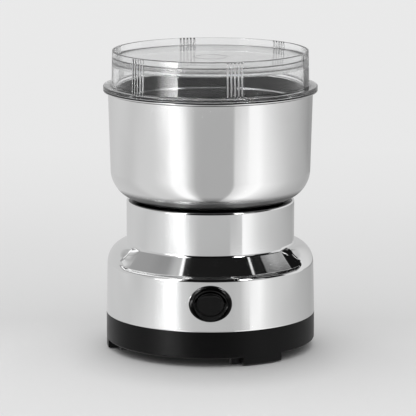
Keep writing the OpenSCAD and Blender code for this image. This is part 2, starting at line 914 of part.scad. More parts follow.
module through_bolts() {
    head_z = bracket_plate_z - bolt_head_h;
    color([0.6, 0.6, 0.62])
        for (y = [-1, 1])
            translate([0, y * bolt_y, 0]) {
                rod(bolt_r - press_fit, head_z, stack_top + bolt_grip);
                difference() {
                    rod(bolt_head_r, head_z, bracket_plate_z);
                    translate([-bolt_head_r, -drive_slot_w / 2, head_z - over])
                        cube([2 * bolt_head_r, drive_slot_w, over + drive_slot_h]);
                }
            }
}

module motor_leads() {
    color([0.5, 0.08, 0.08])
        tube(smooth(lead_a, 4), lead_r, 8, [0.2, 0.3, 1]);
    color([0.1, 0.2, 0.5])
        tube(smooth(lead_b, 4), lead_r, 8, [1, 0.2, 0.1]);
}

// A rounded oval ring, from the button's opening out to the bezel's edge
module bezel_ring() {
    turns = 72;
    section = concat(
        [for (i = [0:8]) [0.5 - 0.5 * cos(22.5 * i), bezel_front + bezel_proud * (1 - sin(22.5 * i))]],
        [[1, lip_back], [0, lip_back]]);
    n = len(section);
    rings = [for (k = [0:turns - 1], s = section)
        let (a = 360 * k / turns, w = opening_w + (bezel_w - opening_w) * s[0],
            h = opening_h + (bezel_h - opening_h) * s[0])
            [w / 2 * cos(a), s[1], switch_z + h / 2 * sin(a)]];
    walls = [for (k = [0:turns - 1], i = [0:n - 1])
        let (a = k * n + i, b = k * n + (i + 1) % n, c = ((k + 1) % turns) * n + i,
            d = ((k + 1) % turns) * n + (i + 1) % n)
            each [[a, c, b], [b, c, d]]];
    polyhedron(points = rings, faces = walls);
}

// The space inside the lower wall's outer surface, with a little room
module wall_room() {
    rotate_extrude()
        polygon([[0, base_top], [base_r + running_fit, base_top],
            [wall_top_r + running_fit, shoulder_z], [0, shoulder_z]]);
}

// Bezel: an oval ring outside the wall, with a round neck through the wall's hole
module switch_bezel() {
    color([0.05, 0.05, 0.055])
        difference() {
            bezel_ring();
            difference() {
                wall_room();
                along_y(switch_r, bezel_front, 0);
            }
        }
}

// Switch body: the barrel behind the bezel, with a partition that guides the button's stem
module switch_body() {
    color([0.1, 0.1, 0.1])
        difference() {
            along_y(switch_r, lip_back, cover_front);
            along_y(switch_in_r, lip_back - over, rest_front);
            along_y(switch_in_r, rest_back, cover_front + over);
            along_y(stem_r + stem_fit, rest_front - over, rest_back + over);
        }
}

module switch_nut() {
    color([0.2, 0.2, 0.2])
        translate([0, nut_front, switch_z])
            rotate([-90, 0, 0])
                difference() {
                    cylinder(r = switch_nut_r, h = switch_nut_t, $fn = 6);
                    translate([0, 0, -over])
                        cylinder(r = switch_r + press_fit, h = switch_nut_t + 2 * over);
                }
}

module switch_cover() {
    color([0.75, 0.73, 0.68])
        difference() {
            union() {
                along_y(switch_r, cover_front, cover_front + cover_t);
                along_y(switch_in_r - press_fit, cover_front - cover_rim_h, cover_front + cover_t / 2);
            }
            for (side = [-1, 1])
                translate([side * tab_x, cover_front, switch_z])
                    cube([tab_t + 2 * press_fit, 4 * cover_t, tab_w + 2 * press_fit], center = true);
        }
}

// Fixed contacts with their solder tabs
module switch_terminals() {
    color([0.78, 0.65, 0.33])
        for (side = [-1, 1]) {
            translate([side * tab_x - tab_t / 2, contact_front, switch_z - tab_w / 2])
                cube([tab_t, tab_back - contact_front, tab_w]);
            translate([side * tab_x - contact_w / 2, contact_front, switch_z - contact_h / 2])
                cube([contact_w, contact_t, contact_h]);
        }
}

module return_spring() {
    seat = spring_wire_r + spring_gap;
    path = coil_path(stem_r + fit + spring_wire_r, rest_front - catch_back - 2 * seat, spring_turns);
    echo(least_gap_of_the_return_spring = least_gap(path, spring_wire_r));
    color([0.7, 0.7, 0.72])
        translate([0, catch_back + seat, switch_z])
            tube(path, spring_wire_r, 6, [0, 1, 0]);
}

module motor_shaft() {
    color([0.7, 0.71, 0.73])
        union() {
            rod(shaft_r, shaft_low, blade_z);
            rod(thread_r, shaft_low, shaft_top);
        }
}

module armature_core() {
    color([0.45, 0.46, 0.48])
        translate([0, 0, stack_z])
            linear_extrude(stack_h)
                difference() {
                    circle(r = rotor_r);
                    circle(r = shaft_r + press_fit);
                    around(slot_count, 0) {
                        translate([slot_at, 0])
                            circle(r = slot_r);
                        translate([slot_at, -slot_mouth / 2])
                            square([rotor_r, slot_mouth]);
                    }
                }
}

module armature_winding() {
    wire_r = slot_r - slot_liner;
    color([0.66, 0.36, 0.16])
        difference() {
            union() {
                around(slot_count, 0)
                    translate([slot_at, 0, 0])
                        rod(wire_r, stack_z - over, stack_top + over);
                for (z0 = [stack_z - winding_end_h, stack_top])
                    rotate_extrude()
                        translate([(winding_in_r + winding_r) / 2, z0 + winding_end_h / 2])
                            round_rect(winding_r - winding_in_r, winding_end_h, winding_corner_r);
            }
            rod(winding_in_r, stack_z - winding_end_h - over, stack_top + winding_end_h + over);
        }
}

module commutator() {
    color([0.72, 0.42, 0.22])
        difference() {
            union() {
                rod(commutator_r, commutator_z, commutator_top);
                rod(riser_r, commutator_top, commutator_top + riser_h);
            }
            rod(shaft_r + press_fit, commutator_z - over, commutator_top + riser_h + over);
            around(slot_count, 180 / slot_count)
                translate([commutator_r - bar_depth, -bar_gap / 2, commutator_z - over])
                    cube([bar_depth + 2 * over, bar_gap, commutator_l + riser_h + 2 * over]);
        }
}

module fan() {
    hub = shaft_r + fan_hub_t;
    color([0.85, 0.85, 0.82])
        difference() {
            union() {
                rod(hub, fan_z, fan_top);
                rod(fan_r, fan_z, fan_z + fan_disc_t);
                around(fan_blades, 0)
                    translate([hub - fan_blade_t, -fan_blade_t / 2, fan_z])
                        rotate([0, 0, fan_blade_lean])
                            cube([fan_r - hub, fan_blade_t, fan_h]);
            }
            rod(shaft_r + press_fit, fan_z - over, fan_top + over);
        }
}

module blade_spacer() {
    color([0.7, 0.71, 0.73])
        ring(shaft_r + press_fit, spacer_r, spacer_z, blade_z);
}

// Blade: a flat middle and two wings twisted opposite ways
module wing() {
    root = spacer_r + 1.6;
    corner = 0.3 * blade_tip_w;
    translate([root, 0, blade_t / 2])
        rotate([-blade_pitch, 0, 0])
            translate([0, 0, -blade_t / 2])
                linear_extrude(blade_t) {
                    polygon([[0, -blade_w / 2], [blade_r - root - corner, -blade_tip_w / 2],
                        [blade_r - root, -blade_tip_w / 2 + corner],
                        [blade_r - root, blade_tip_w / 2 - corner],
                        [blade_r - root - corner, blade_tip_w / 2], [0, blade_w / 2]]);
                    for (y = [-1, 1])
                        translate([blade_r - root - corner, y * (blade_tip_w / 2 - corner)])
                            circle(r = corner);
                }
}

module blade() {
    color([0.8, 0.81, 0.82])
        translate([0, 0, blade_z])
            difference() {
                union() {
                    cylinder(r = blade_boss_r, h = blade_t);
                    for (a = [0, 180])
                        rotate([0, 0, a])
                            wing();
                }
                translate([0, 0, -over])
                    cylinder(r = thread_r + press_fit, h = blade_t + 2 * over);
            }
}

module blade_nut() {
    color([0.75, 0.76, 0.78])
        difference() {
            union() {
                translate([0, 0, nut_z])
                    cylinder(r = nut_r, h = nut_h, $fn = 6);
                translate([0, 0, nut_z + nut_h])
                    intersection() {
                        translate([0, 0, -dome_r / 2])
                            sphere(r = dome_r);
                        rod(dome_r, 0, dome_r);
                    }
            }
            rod(thread_r + press_fit, nut_z - over, shaft_top + stem_fit);
        }
}

// Push button: an oval cap with a dished face, a catch behind the bezel's lip, and a stem
module button_cap() {
    dish_r = 60;
    dish = 0.5;
    color([0.13, 0.13, 0.135])
        difference() {
            union() {
                oval(button_w, button_h, button_front, catch_front + catch_t / 2);
                along_y(catch_r, catch_front, catch_back);
                along_y(stem_r, catch_front, bridge_front);
                along_y(stem_r / 2, catch_front, bridge_front + bridge_t + rivet_h);
            }
            translate([0, button_front - dish_r + dish, switch_z])
                sphere(r = dish_r);
        }
}

module contact_bridge() {
    color([0.78, 0.65, 0.33])
        difference() {
            translate([-bridge_w / 2, bridge_front, switch_z - contact_h / 2])
                cube([bridge_w, bridge_t, contact_h]);
            along_y(stem_r / 2 + press_fit, bridge_front - over, bridge_front + bridge_t + over);
        }
}

// Lid: a clear cup turned upside down, with a flange, a spigot and grip ribs
module lid_shell() {
    rotate_extrude()
        polygon([[0, lid_disc_z - lid_top_t], [lid_in_r, lid_disc_z - lid_top_t],
            [lid_in_r, lid_z - lid_spigot_h], [lid_spigot_r, lid_z - lid_spigot_h], [lid_spigot_r, lid_z],
            [rim_r, lid_z], [rim_r, lid_z + lid_flange_t], [lid_wall_r, lid_z + lid_flange_t],
            [lid_wall_r - lid_draft, lid_top], [lid_wall_r - lid_draft - lid_rim_t, lid_top],
            [lid_wall_r - lid_draft - lid_rim_t, lid_disc_z], [0, lid_disc_z]]);
}

module grip_rib() {
    span = rib_w / lid_wall_r * 180 / PI;
    rib_top = lid_top - rib_stop;
    rotate([0, 0, -span / 2])
        rotate_extrude(angle = span)
            polygon([[rib_root_r, rib_low_z], [lid_wall_r + rib_proud, rib_low_z],
                [lid_wall_r - lid_draft + rib_proud, rib_top], [rib_root_r, rib_top]]);
}

module lid() {
    color([0.85, 0.88, 0.9, 0.4])
        union() {
            lid_shell();
            around(rib_groups, 0)
                for (i = [0:ribs_in_group - 1])
                    facing(rib_turn + (i - (ribs_in_group - 1) / 2) * rib_pitch)
                        grip_rib();
        }
}

base();
foot_pads();
base_screws();
cord_gland();
housing();
carrier();
seat_gasket();
bowl();
bowl_hub();
hub_nut();
shaft_seal();
upper_bearing();
lower_bracket();
lower_bearing();
thrust_pad();
stator_core();
field_coils();
brush_holders();
carbon_brushes();
brush_springs();
through_bolts();
motor_leads();
switch_bezel();
switch_body();
switch_nut();
switch_cover();
switch_terminals();
return_spring();
motor_shaft();
armature_core();
armature_winding();
commutator();
fan();
blade_spacer();
blade();
blade_nut();
button_cap();
contact_bridge();
lid();
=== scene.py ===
# Looks of the electric coffee grinder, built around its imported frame.
# Metres, +Z up, the button looks towards -Y. Sizes below are in millimetres until a mesh is made.
import json
import math

import bmesh
import bpy
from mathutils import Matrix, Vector


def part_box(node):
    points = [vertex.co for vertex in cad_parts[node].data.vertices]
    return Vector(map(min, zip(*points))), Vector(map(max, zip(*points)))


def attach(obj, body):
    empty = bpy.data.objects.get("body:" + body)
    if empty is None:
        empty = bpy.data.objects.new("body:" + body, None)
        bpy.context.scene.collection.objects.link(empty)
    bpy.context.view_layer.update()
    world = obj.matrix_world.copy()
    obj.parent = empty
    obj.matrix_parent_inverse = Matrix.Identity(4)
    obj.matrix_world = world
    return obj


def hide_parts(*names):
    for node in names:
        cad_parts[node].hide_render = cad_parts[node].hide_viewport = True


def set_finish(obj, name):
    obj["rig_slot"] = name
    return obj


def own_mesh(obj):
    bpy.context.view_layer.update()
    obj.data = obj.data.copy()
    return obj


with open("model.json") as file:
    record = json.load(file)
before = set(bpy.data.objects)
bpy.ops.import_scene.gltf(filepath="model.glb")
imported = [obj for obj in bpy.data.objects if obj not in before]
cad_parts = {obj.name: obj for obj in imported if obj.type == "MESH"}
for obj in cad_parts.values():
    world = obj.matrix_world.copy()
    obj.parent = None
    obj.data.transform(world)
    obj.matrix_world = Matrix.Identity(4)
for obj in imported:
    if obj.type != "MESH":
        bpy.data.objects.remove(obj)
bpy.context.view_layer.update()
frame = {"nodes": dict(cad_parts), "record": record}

MM = 0.001
MERGE = 1e-7


def corners(node):
    """The lowest and the highest corner of a CAD node, in millimetres."""
    low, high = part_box(node)
    return low / MM, high / MM


HOUSING_LOW, HOUSING_HIGH = corners("housing")
BOWL_LOW, BOWL_HIGH = corners("bowl")
LID_LOW, LID_HIGH = corners("lid")
BEZEL_LOW, BEZEL_HIGH = corners("switch_bezel")
SWITCH_Z = (BEZEL_LOW.z + BEZEL_HIGH.z) / 2

# Housing: foot, lower wall, shoulder, neck and the flange at its top
FOOT_R = HOUSING_HIGH.x
FOOT_Z = HOUSING_LOW.z
NECK_TOP = HOUSING_HIGH.z
WALL_LEAN = 0.6
WALL_R = FOOT_R - WALL_LEAN
SHOULDER_Z = FOOT_Z + 26.6
SHOULDER_H = 11.5
NECK_R = 45
NECK_Z = SHOULDER_Z + SHOULDER_H
NECK_ROUND = 1
FLANGE_R = 37.4
SHEET = 0.5
FOOT_ROUND = 0.35
NECK_FILLET = 1.3
FOOT_EDGE_H = 0.7
NECK_FILLET_SINK = 0.1
NECK_FILLET_START = 262
NECK_FILLET_CLEAR = 0.15
SWITCH_HOLE_R = 9.1
HOLE_MARGIN = 0.5
CUTTER_DEPTH = 12

# Where its outline has more points: the first and the last row of the wall, the first of the neck, and
# three spans of the shoulder, each by the share at its end and its count
WALL_START = 0.9
WALL_END = 0.4
NECK_START = 2.1
SHOULDER_SPANS = ((0.27, 28), (0.8, 14), (1.0, 18))

# The sunken panel in the front of the shoulder, from its corner at the neck to its ledge
PANEL_TOP = (NECK_R, NECK_Z - 0.3)
PANEL_LOW = (NECK_R + 7.6, SHOULDER_Z + 2.0)
PANEL_FILLET = 1.8
PANEL_JOIN = 1.8
LEDGE_FILLET = 0.8
LIP_ROUND = 1.9
PANEL_HALF = 55.3
PANEL_END = 62.8
PANEL_END_BOW = 1.7
PANEL_END_HOLLOW = 0.15
SHOULDER_DIP = 1.0
DIP_REACH = 16

# Columns of the housing: on the panel, at its ends by share, outside them in degrees, and round the back
PANEL_COLUMNS = 84
PANEL_GUARD = 0.4
END_SHARES = [0, 0.03, 0.08] + [0.14 + 0.08 * i for i in range(10)] + [0.92]
OUTER_STEPS = [0.6, 1.0, 1.4] + [2 * i for i in range(1, 9)]
BACK_COLUMNS = 120

# Bowl
BOWL_R = 54.7
BOWL_FOOT_R = 53.5
BOWL_CORNER = 16
BOWL_SHEET = 0.8
BOWL_HOLE_R = 6.6
BOWL_NECK_ROUND = 0.5
BOWL_MOUTH_ROUND = 0.4
BEAD_R = 0.65
RIM_R = BOWL_HIGH.x
RIM_Z = BOWL_HIGH.z
BOWL_FOOT_STEPS = 28
BEAD_STEPS = 22
BOWL_TURN = 1.5

# Lid
LID_WALL_R = 52.7
LID_TOP_R = 52.3
LID_IN_R = 50.5
LID_RIM_IN_R = 51.1
LID_DISC_TOP = LID_HIGH.z - 3.9
LID_DISC_LOW = LID_DISC_TOP - 2.2
LID_FLANGE_Z = LID_HIGH.z - 20.5
LID_FLANGE_TOP = LID_FLANGE_Z + 1.7
LID_LEAN = (LID_WALL_R - LID_TOP_R) / (LID_HIGH.z - LID_FLANGE_TOP)
LID_SPIGOT_R = 53.3
LID_EDGE = 0.45
LID_SOFT = 0.3
LID_DISC_FILLET = 0.7
LID_SPIGOT_ROUND = 0.5
LID_CORNER_FILLET = 1.2
GATE_RING_R = 9
GATE_RING_W = 0.6
GATE_RING_DEPTH = 0.05
GATE_RING_SLOPE = 0.5
RIB_GROUPS = 6
RIBS_IN_GROUP = 5
RIB_PITCH = 2.1
RIB_HALF = 0.58
RIB_PROUD = 0.5
RIB_TURN = 14
RIB_MIDDLES = [RIB_TURN + 360 / RIB_GROUPS * group for group in range(RIB_GROUPS)]
RIB_PLACES = [(k - (RIBS_IN_GROUP - 1) / 2) * RIB_PITCH for k in range(RIBS_IN_GROUP)]
RIB_TOP = LID_HIGH.z - 0.5
RIB_RUNOUT = 0.5
RIB_ROW_START = 0.1
RIB_ROW_PITCH = 3.2
RIB_ROW_END = 0.15
RIB_SIDE_COLUMNS = 6
RIB_MARGIN = 0.9
LID_PLAIN_COLUMNS = 56
WALL_MARGIN = 0.05

# Bezel and button. Ovals are half widths along X and Z, and turned steps a radius and places along Y.
OPENING = (7.6, 6.4)
BEZEL = (BEZEL_HIGH.x - 0.25, (BEZEL_HIGH.z - BEZEL_LOW.z) / 2 - 0.3)
BEZEL_EDGE = 1.7
BEZEL_SLOPE = 0.75
BEZEL_INSIDE = (2.6, 1.05)
BEZEL_CREST = (0.45, 0.8)
BEZEL_CHANGE = (-0.25, 0.3)
BEZEL_BAND = 0.1
BEZEL_RINGS = 12
SEAT_PROUD = 0.03
PAD = (8.6, 8.7)
PAD_TOP_HALF = 7.2
LIP_BACK = -53.6
BARREL_R = 9.0
CAP = (7.5, 6.3)
CAP_RECESS = 1
CAP_EDGE = 0.45
CAP_SKIRT = 0.3
CAP_RINGS = 22
SCOOP_DEPTH = 1.4
SCOOP_LOW = 0.8
SCOOP_RISE = 3.0
SCOOP_FLOOR_RISE = 0.75
SCOOP_LEAST_WALL = 0.1
CATCH = (7.6, -53.4, -52.0)
STEM = (2.5, -42.9)
RIVET = (1.25, -41.7)

# Camera, fitted to the photograph
CAMERA_PLACE = (0, -1.56433, 0.3630)
CAMERA_TILT = 79.5577
CAMERA_LENS = 256.27
CAMERA_SENSOR = 36
CAMERA_REACH = 50
FRAME_PIXELS = 416
AXIS_RIGHT_PIXELS = 2.4


def on_axis(angle, r, z):
    """A point in metres from an angle (degrees from the front towards +X), a radius and a height."""
    a = math.radians(angle)
    return Vector((r * math.sin(a), -r * math.cos(a), z)) * MM


def arc(centre, radius_r, radius_z, start, end, steps):
    """Points of an arc in an outline, both ends included."""
    points = []
    for i in range(steps + 1):
        a = math.radians(start + (end - start) * i / steps)
        points.append(Vector((centre[0] + radius_r * math.cos(a), centre[1] + radius_z * math.sin(a))))
    return points


def rounded(points, steps=6):
    """An outline of (r, z, radius) corners, with each corner rounded that has a radius."""
    out = []
    for i, (r, z, radius) in enumerate(points):
        here = Vector((r, z))
        if radius == 0:
            out.append(here)
            continue
        before = Vector(points[i - 1][:2]) - here
        after = Vector(points[i + 1][:2]) - here
        half = before.angle(after) / 2
        middle = (before.normalized() + after.normalized()).normalized()
        centre = here + middle * radius / math.sin(half)
        first = here + before.normalized() * radius / math.tan(half) - centre
        last = here + after.normalized() * radius / math.tan(half) - centre
        turn = first.angle_signed(last)
        for k in range(steps + 1):
            a = -turn * k / steps
            out.append(centre + Vector((first.x * math.cos(a) - first.y * math.sin(a),
                                        first.x * math.sin(a) + first.y * math.cos(a))))
    return out


def supported(points, closed=False, reach=0.2, longest=6.0):
    """The same outline with points near both ends of each long stretch, so that it shades evenly."""
    out = []
    count = len(points)
    for i, here in enumerate(points):
        out.append(here)
        if not closed and i == count - 1:
            break
        run = points[(i + 1) % count] - here
        if run.length > 4 * reach:
            pieces = max(1, round(run.length / longest))
            shares = [reach / run.length]
            shares += [k / pieces for k in range(1, pieces)]
            shares.append(1 - reach / run.length)
            out += [here + run * share for share in shares]
    return out


def along(points, shares):
    """Points at the given shares of an outline's length."""
    lengths = [0]
    for a, b in zip(points, points[1:]):
        lengths.append(lengths[-1] + (b - a).length)
    out = []
    i = 0
    for share in shares:
        goal = share * lengths[-1]
        while i < len(points) - 2 and lengths[i + 1] < goal:
            i += 1
        step = lengths[i + 1] - lengths[i]
        out.append(points[i].lerp(points[i + 1], (goal - lengths[i]) / step if step else 0))
    return out


def new_object(name, data):
    """An object with the given data, linked into the scene."""
    made = bpy.data.objects.new(name, data)
    bpy.context.scene.collection.objects.link(made)
    return made


def make_piece(name, columns, looped, body, slot, replaced, sharp):
    """A mesh from columns of points, each joined to the next and the last to the first."""
    shape = bmesh.new()
    rows = [[shape.verts.new(point) for point in column] for column in columns]
    count = len(rows[0])
    for left, right in zip(rows, rows[1:] + rows[:1]):
        for i in range(count if looped else count - 1):
            j = (i + 1) % count
            shape.faces.new((left[i], right[i], right[j], left[j]))
    bmesh.ops.remove_doubles(shape, verts=shape.verts, dist=MERGE)
    bmesh.ops.recalc_face_normals(shape, faces=shape.faces)
    mesh = bpy.data.meshes.new(name)
    shape.to_mesh(mesh)
    shape.free()
    piece = new_object(name, mesh)
    finish_mesh(piece, sharp)
    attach(piece, body)
    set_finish(piece, slot)
    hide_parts(replaced)
    return piece


def finish_mesh(piece, sharp):
    """Smooth shading with sharp edges where faces meet at a steep angle."""
    piece.data.shade_smooth()
    piece.data.set_sharp_from_angle(angle=math.radians(sharp))


def bake(piece):
    """Turn the piece's modifiers into mesh."""
    bpy.context.view_layer.update()
    shown = piece.evaluated_get(bpy.context.evaluated_depsgraph_get())
    mesh = bpy.data.meshes.new_from_object(shown)
    piece.modifiers.clear()
    piece.data = mesh


def even_angles(step):
    """Angles round the whole circle, in degrees."""
    return [i * step for i in range(round(360 / step))]


def smooth_share(value, low, high):
    """0 up to low, 1 from high, and a smooth rise between."""
    t = min(1, max(0, (value - low) / (high - low)))
    return t * t * (3 - 2 * t)


# Housing
def shoulder_shares():
    """Where the shoulder's outline gets its points: closer at the lip and at the neck."""
    shares = []
    start = 0
    for end, count in SHOULDER_SPANS:
        shares += [start + (end - start) * i / count for i in range(count)]
        start = end
    return shares + [1]


def plain_shoulder():
    """The shoulder's full outline, from the wall's top to the neck, with a small fillet at the neck."""
    centre = Vector((NECK_R + NECK_FILLET, NECK_Z + NECK_FILLET - NECK_FILLET_SINK))
    fillet = arc(centre, NECK_FILLET, NECK_FILLET, NECK_FILLET_START, 180, 10)
    outline = arc((NECK_R, SHOULDER_Z), WALL_R - NECK_R, SHOULDER_H, 0, 90, 40)
    outer = [p for p in outline if p.x > fillet[0].x + NECK_FILLET_CLEAR]
    return outer + fillet + [Vector((NECK_R, NECK_TOP))]


def panel_outline():
    """The outline through the sunken panel: wall, lip, ledge, panel and the corner at the neck."""
    return rounded([(WALL_R, SHOULDER_Z, 0), (WALL_R, PANEL_LOW[1], LIP_ROUND),
                    PANEL_LOW + (LEDGE_FILLET,), PANEL_TOP + (PANEL_FILLET,),
                    (NECK_R, NECK_Z + PANEL_JOIN, 0)], steps=14)


def shoulder_rows():
    """Rows of the shoulder: place along the panel's slope, height over it when sunken, and when full."""
    start = Vector(PANEL_TOP)
    down = (Vector(PANEL_LOW) - start).normalized()
    out = Vector((-down.y, down.x))
    full = [((p - start).dot(down), (p - start).dot(out)) for p in plain_shoulder()]
    rows = []
    for point in along(panel_outline(), shoulder_shares()):
        place = (point - start).dot(down)
        i = next((k for k in range(1, len(full)) if full[k][0] <= place), len(full) - 1)
        (before, high), (after, low) = full[i - 1], full[i]
        share = min(1, max(0, (before - place) / (before - after)))
        rows.append((place, (point - start).dot(out), high + (low - high) * share))
    return rows, start, down, out


def housing_columns():
    """Columns of the housing: even on the panel, hollow at its ends and even round the rest."""
    rows, start, down, out = shoulder_rows()
    length = (Vector(PANEL_LOW) - start).length
    hole = SWITCH_HOLE_R + HOLE_MARGIN
    lean = WALL_LEAN / (SHOULDER_Z - FOOT_Z)
    foot = rounded([(FOOT_R - 2 * FOOT_ROUND, FOOT_Z, 0), (FOOT_R, FOOT_Z, FOOT_ROUND),
                    (FOOT_R - lean * FOOT_EDGE_H, FOOT_Z + FOOT_EDGE_H, 0)], steps=5)
    heights = [FOOT_Z + WALL_START] + [SWITCH_Z + hole * k / 2 for k in range(-2, 3)]
    heights.append(SHOULDER_Z - WALL_END)
    wall = [Vector((FOOT_R - lean * (z - FOOT_Z), z)) for z in heights]
    neck = supported(rounded([(NECK_R, NECK_Z + NECK_START, 0), (NECK_R, NECK_TOP, NECK_ROUND),
                              (FLANGE_R, NECK_TOP, 0)], steps=8))

    def column(angle, depth, bow, dip):
        """One column; depth goes from 0 on the panel to 1 on the plain shoulder."""
        points = [on_axis(angle, *p) for p in foot + wall]
        for place, sunken, full in rows:
            swell = math.sin(math.pi * min(1, max(0, place / length)))
            height = sunken + (full - dip * swell ** 2 - sunken) * depth
            r, z = start + down * place + out * height
            points.append(on_axis(angle - bow * swell, r, z))
        return points + [on_axis(angle, *p) for p in neck]

    def end_column(side, t):
        angle = PANEL_HALF + (PANEL_END - PANEL_HALF) * t
        depth = t * (1 - PANEL_END_HOLLOW) + t * t * PANEL_END_HOLLOW
        return side * angle, depth, side * PANEL_END_BOW * t, SHOULDER_DIP

    def outer_column(side, off):
        left = 1 - smooth_share(off, 0, DIP_REACH)
        return side * (PANEL_END + off), 1, side * PANEL_END_BOW * left, SHOULDER_DIP * left

    middle = [PANEL_HALF * (2 * i / PANEL_COLUMNS - 1) for i in range(1, PANEL_COLUMNS)]
    middle += [PANEL_GUARD - PANEL_HALF, PANEL_HALF - PANEL_GUARD]
    settings = [(angle, 0, 0, 0) for angle in middle]
    for side in (-1, 1):
        settings += [end_column(side, t) for t in END_SHARES]
        settings += [outer_column(side, off) for off in OUTER_STEPS]
    last = PANEL_END + DIP_REACH
    back = (360 - 2 * last) / BACK_COLUMNS
    settings += [(last + back * i, 1, 0, 0) for i in range(1, BACK_COLUMNS)]
    settings.sort(key=lambda row: row[0] if row[0] <= 180 else row[0] - 360)
    return [column(*row) for row in settings]


def build_housing():
    """The housing's sheet, with the round hole for the switch cut through its wall."""
    piece = make_piece("housing_shell", housing_columns(), False, "root", "bright_steel", "housing",
                       sharp=45)
    sheet = piece.modifiers.new("sheet", "SOLIDIFY")
    sheet.thickness = SHEET * MM
    sheet.offset = -1
    sheet.use_even_offset = True
    bpy.ops.mesh.primitive_cylinder_add(vertices=96, radius=SWITCH_HOLE_R * MM,
                                        depth=CUTTER_DEPTH * MM,
                                        location=(0, -WALL_R * MM, SWITCH_Z * MM),
                                        rotation=(math.radians(90), 0, 0))
    cutter = bpy.context.object
    hole = piece.modifiers.new("switch_hole", "BOOLEAN")
    hole.object = cutter
    hole.solver = "EXACT"
    bake(piece)
    bpy.data.objects.remove(cutter)
    finish_mesh(piece, sharp=45)
    return piece


# Bowl
def build_bowl():
    """The bowl: hole, foot, wall and neck outside, the rolled bead, then the mouth and back inside."""
    low = BOWL_LOW.z
    foot = (BOWL_FOOT_R - BOWL_CORNER, low + BOWL_CORNER)
    bead = (RIM_R - BEAD_R, RIM_Z - BEAD_R)
    notch = math.degrees(math.asin((BEAD_R - BOWL_SHEET) / BEAD_R))
    outside = arc(foot, BOWL_CORNER, BOWL_CORNER, -90, 0, BOWL_FOOT_STEPS)
    neck = rounded([(BOWL_FOOT_R, low + BOWL_CORNER, 0), (BOWL_R, RIM_Z - BOWL_SHEET, BOWL_NECK_ROUND),
                    (RIM_R, RIM_Z - BOWL_SHEET, 0)])[1:-1]
    curl = arc(bead, BEAD_R, BEAD_R, 180 - notch, 450, BEAD_STEPS)
    mouth = rounded([(bead[0], RIM_Z, 0), (BOWL_R - BOWL_SHEET, RIM_Z, BOWL_MOUTH_ROUND),
                     (BOWL_FOOT_R - BOWL_SHEET, low + BOWL_CORNER, 0)])[1:-1]
    inner = BOWL_CORNER - BOWL_SHEET
    inside = arc(foot, inner, inner, 0, -90, BOWL_FOOT_STEPS)
    outline = supported([Vector((BOWL_HOLE_R, low))] + outside + neck + curl + mouth + inside
                        + [Vector((BOWL_HOLE_R, low + BOWL_SHEET))], closed=True)
    columns = [[on_axis(angle, *p) for p in outline] for angle in even_angles(BOWL_TURN)]
    return make_piece("bowl_cup", columns, True, "root", "satin_steel", "bowl", sharp=40)


# Lid
def rib_height(angle):
    """How far the lid's wall stands out at an angle, because of its grip ribs."""
    for middle in RIB_MIDDLES:
        for place in RIB_PLACES:
            off = abs((angle - middle - place + 180) % 360 - 180)
            if off < RIB_HALF:
                return RIB_PROUD * math.sqrt(1 - (off / RIB_HALF) ** 2)
    return 0


def lid_angles():
    """Angles of the lid's columns, closer on the grip ribs."""
    angles = []
    sides = [math.sin(math.radians(90 * i / RIB_SIDE_COLUMNS))
             for i in range(-RIB_SIDE_COLUMNS, RIB_SIDE_COLUMNS + 1)]
    reach = RIB_PITCH * (RIBS_IN_GROUP - 1) / 2 + RIB_MARGIN
    free = 360 / RIB_GROUPS - 2 * reach
    for middle in RIB_MIDDLES:
        angles += [middle + place + RIB_HALF * side for place in RIB_PLACES for side in sides]
        angles += [middle + reach + free * i / LID_PLAIN_COLUMNS for i in range(LID_PLAIN_COLUMNS + 1)]
    return sorted(a % 360 for a in angles)


def lid_wall(z):
    """The radius of the lid's plain wall at a height."""
    return LID_WALL_R - LID_LEAN * (z - LID_FLANGE_TOP)


def lid_outline():
    """The lid's section: sunken top, rim, wall, flange and spigot, and back under the disc."""
    top = LID_HIGH.z
    ring_in = GATE_RING_R - GATE_RING_W
    ring_z = LID_DISC_TOP - GATE_RING_DEPTH
    disc = [(0, LID_DISC_TOP, 0), (ring_in - GATE_RING_SLOPE, LID_DISC_TOP, LID_SOFT),
            (ring_in, ring_z, LID_SOFT), (GATE_RING_R, ring_z, LID_SOFT),
            (GATE_RING_R + GATE_RING_SLOPE, LID_DISC_TOP, LID_SOFT),
            (LID_RIM_IN_R, LID_DISC_TOP, LID_DISC_FILLET), (LID_RIM_IN_R, top, LID_EDGE),
            (LID_TOP_R, top, LID_EDGE)]
    start = LID_FLANGE_TOP + LID_EDGE
    rows = [start + RIB_ROW_START] + [start + RIB_ROW_PITCH * i for i in range(1, 6)]
    rows += [RIB_TOP - RIB_RUNOUT, RIB_TOP - RIB_ROW_END, RIB_TOP]
    wall = [(lid_wall(z), z, 0) for z in reversed(rows)]
    rest = [(LID_WALL_R, LID_FLANGE_TOP, LID_EDGE), (RIM_R, LID_FLANGE_TOP, LID_EDGE),
            (RIM_R, LID_FLANGE_Z, LID_SOFT), (LID_SPIGOT_R, LID_FLANGE_Z, LID_SOFT),
            (LID_SPIGOT_R, LID_LOW.z, LID_SPIGOT_ROUND), (LID_IN_R, LID_LOW.z, LID_SPIGOT_ROUND),
            (LID_IN_R, LID_DISC_LOW, LID_CORNER_FILLET), (0, LID_DISC_LOW, 0)]
    return supported(rounded(disc + wall + rest, steps=5))


def build_lid():
    """The lid: its section turned round the axis, with the ribs added to its wall."""
    outline = lid_outline()
    columns = []
    for angle in lid_angles():
        rib = rib_height(angle)
        column = []
        for r, z in outline:
            if LID_TOP_R - WALL_MARGIN < r < LID_WALL_R + LID_EDGE and LID_FLANGE_TOP < z <= RIB_TOP:
                r = max(r, lid_wall(z) + rib * min(1, (RIB_TOP - z) / RIB_RUNOUT))
            column.append(on_axis(angle, r, z))
        columns.append(column)
    return make_piece("lid_cap", columns, False, "lid", "clear_plastic", "lid", sharp=35)


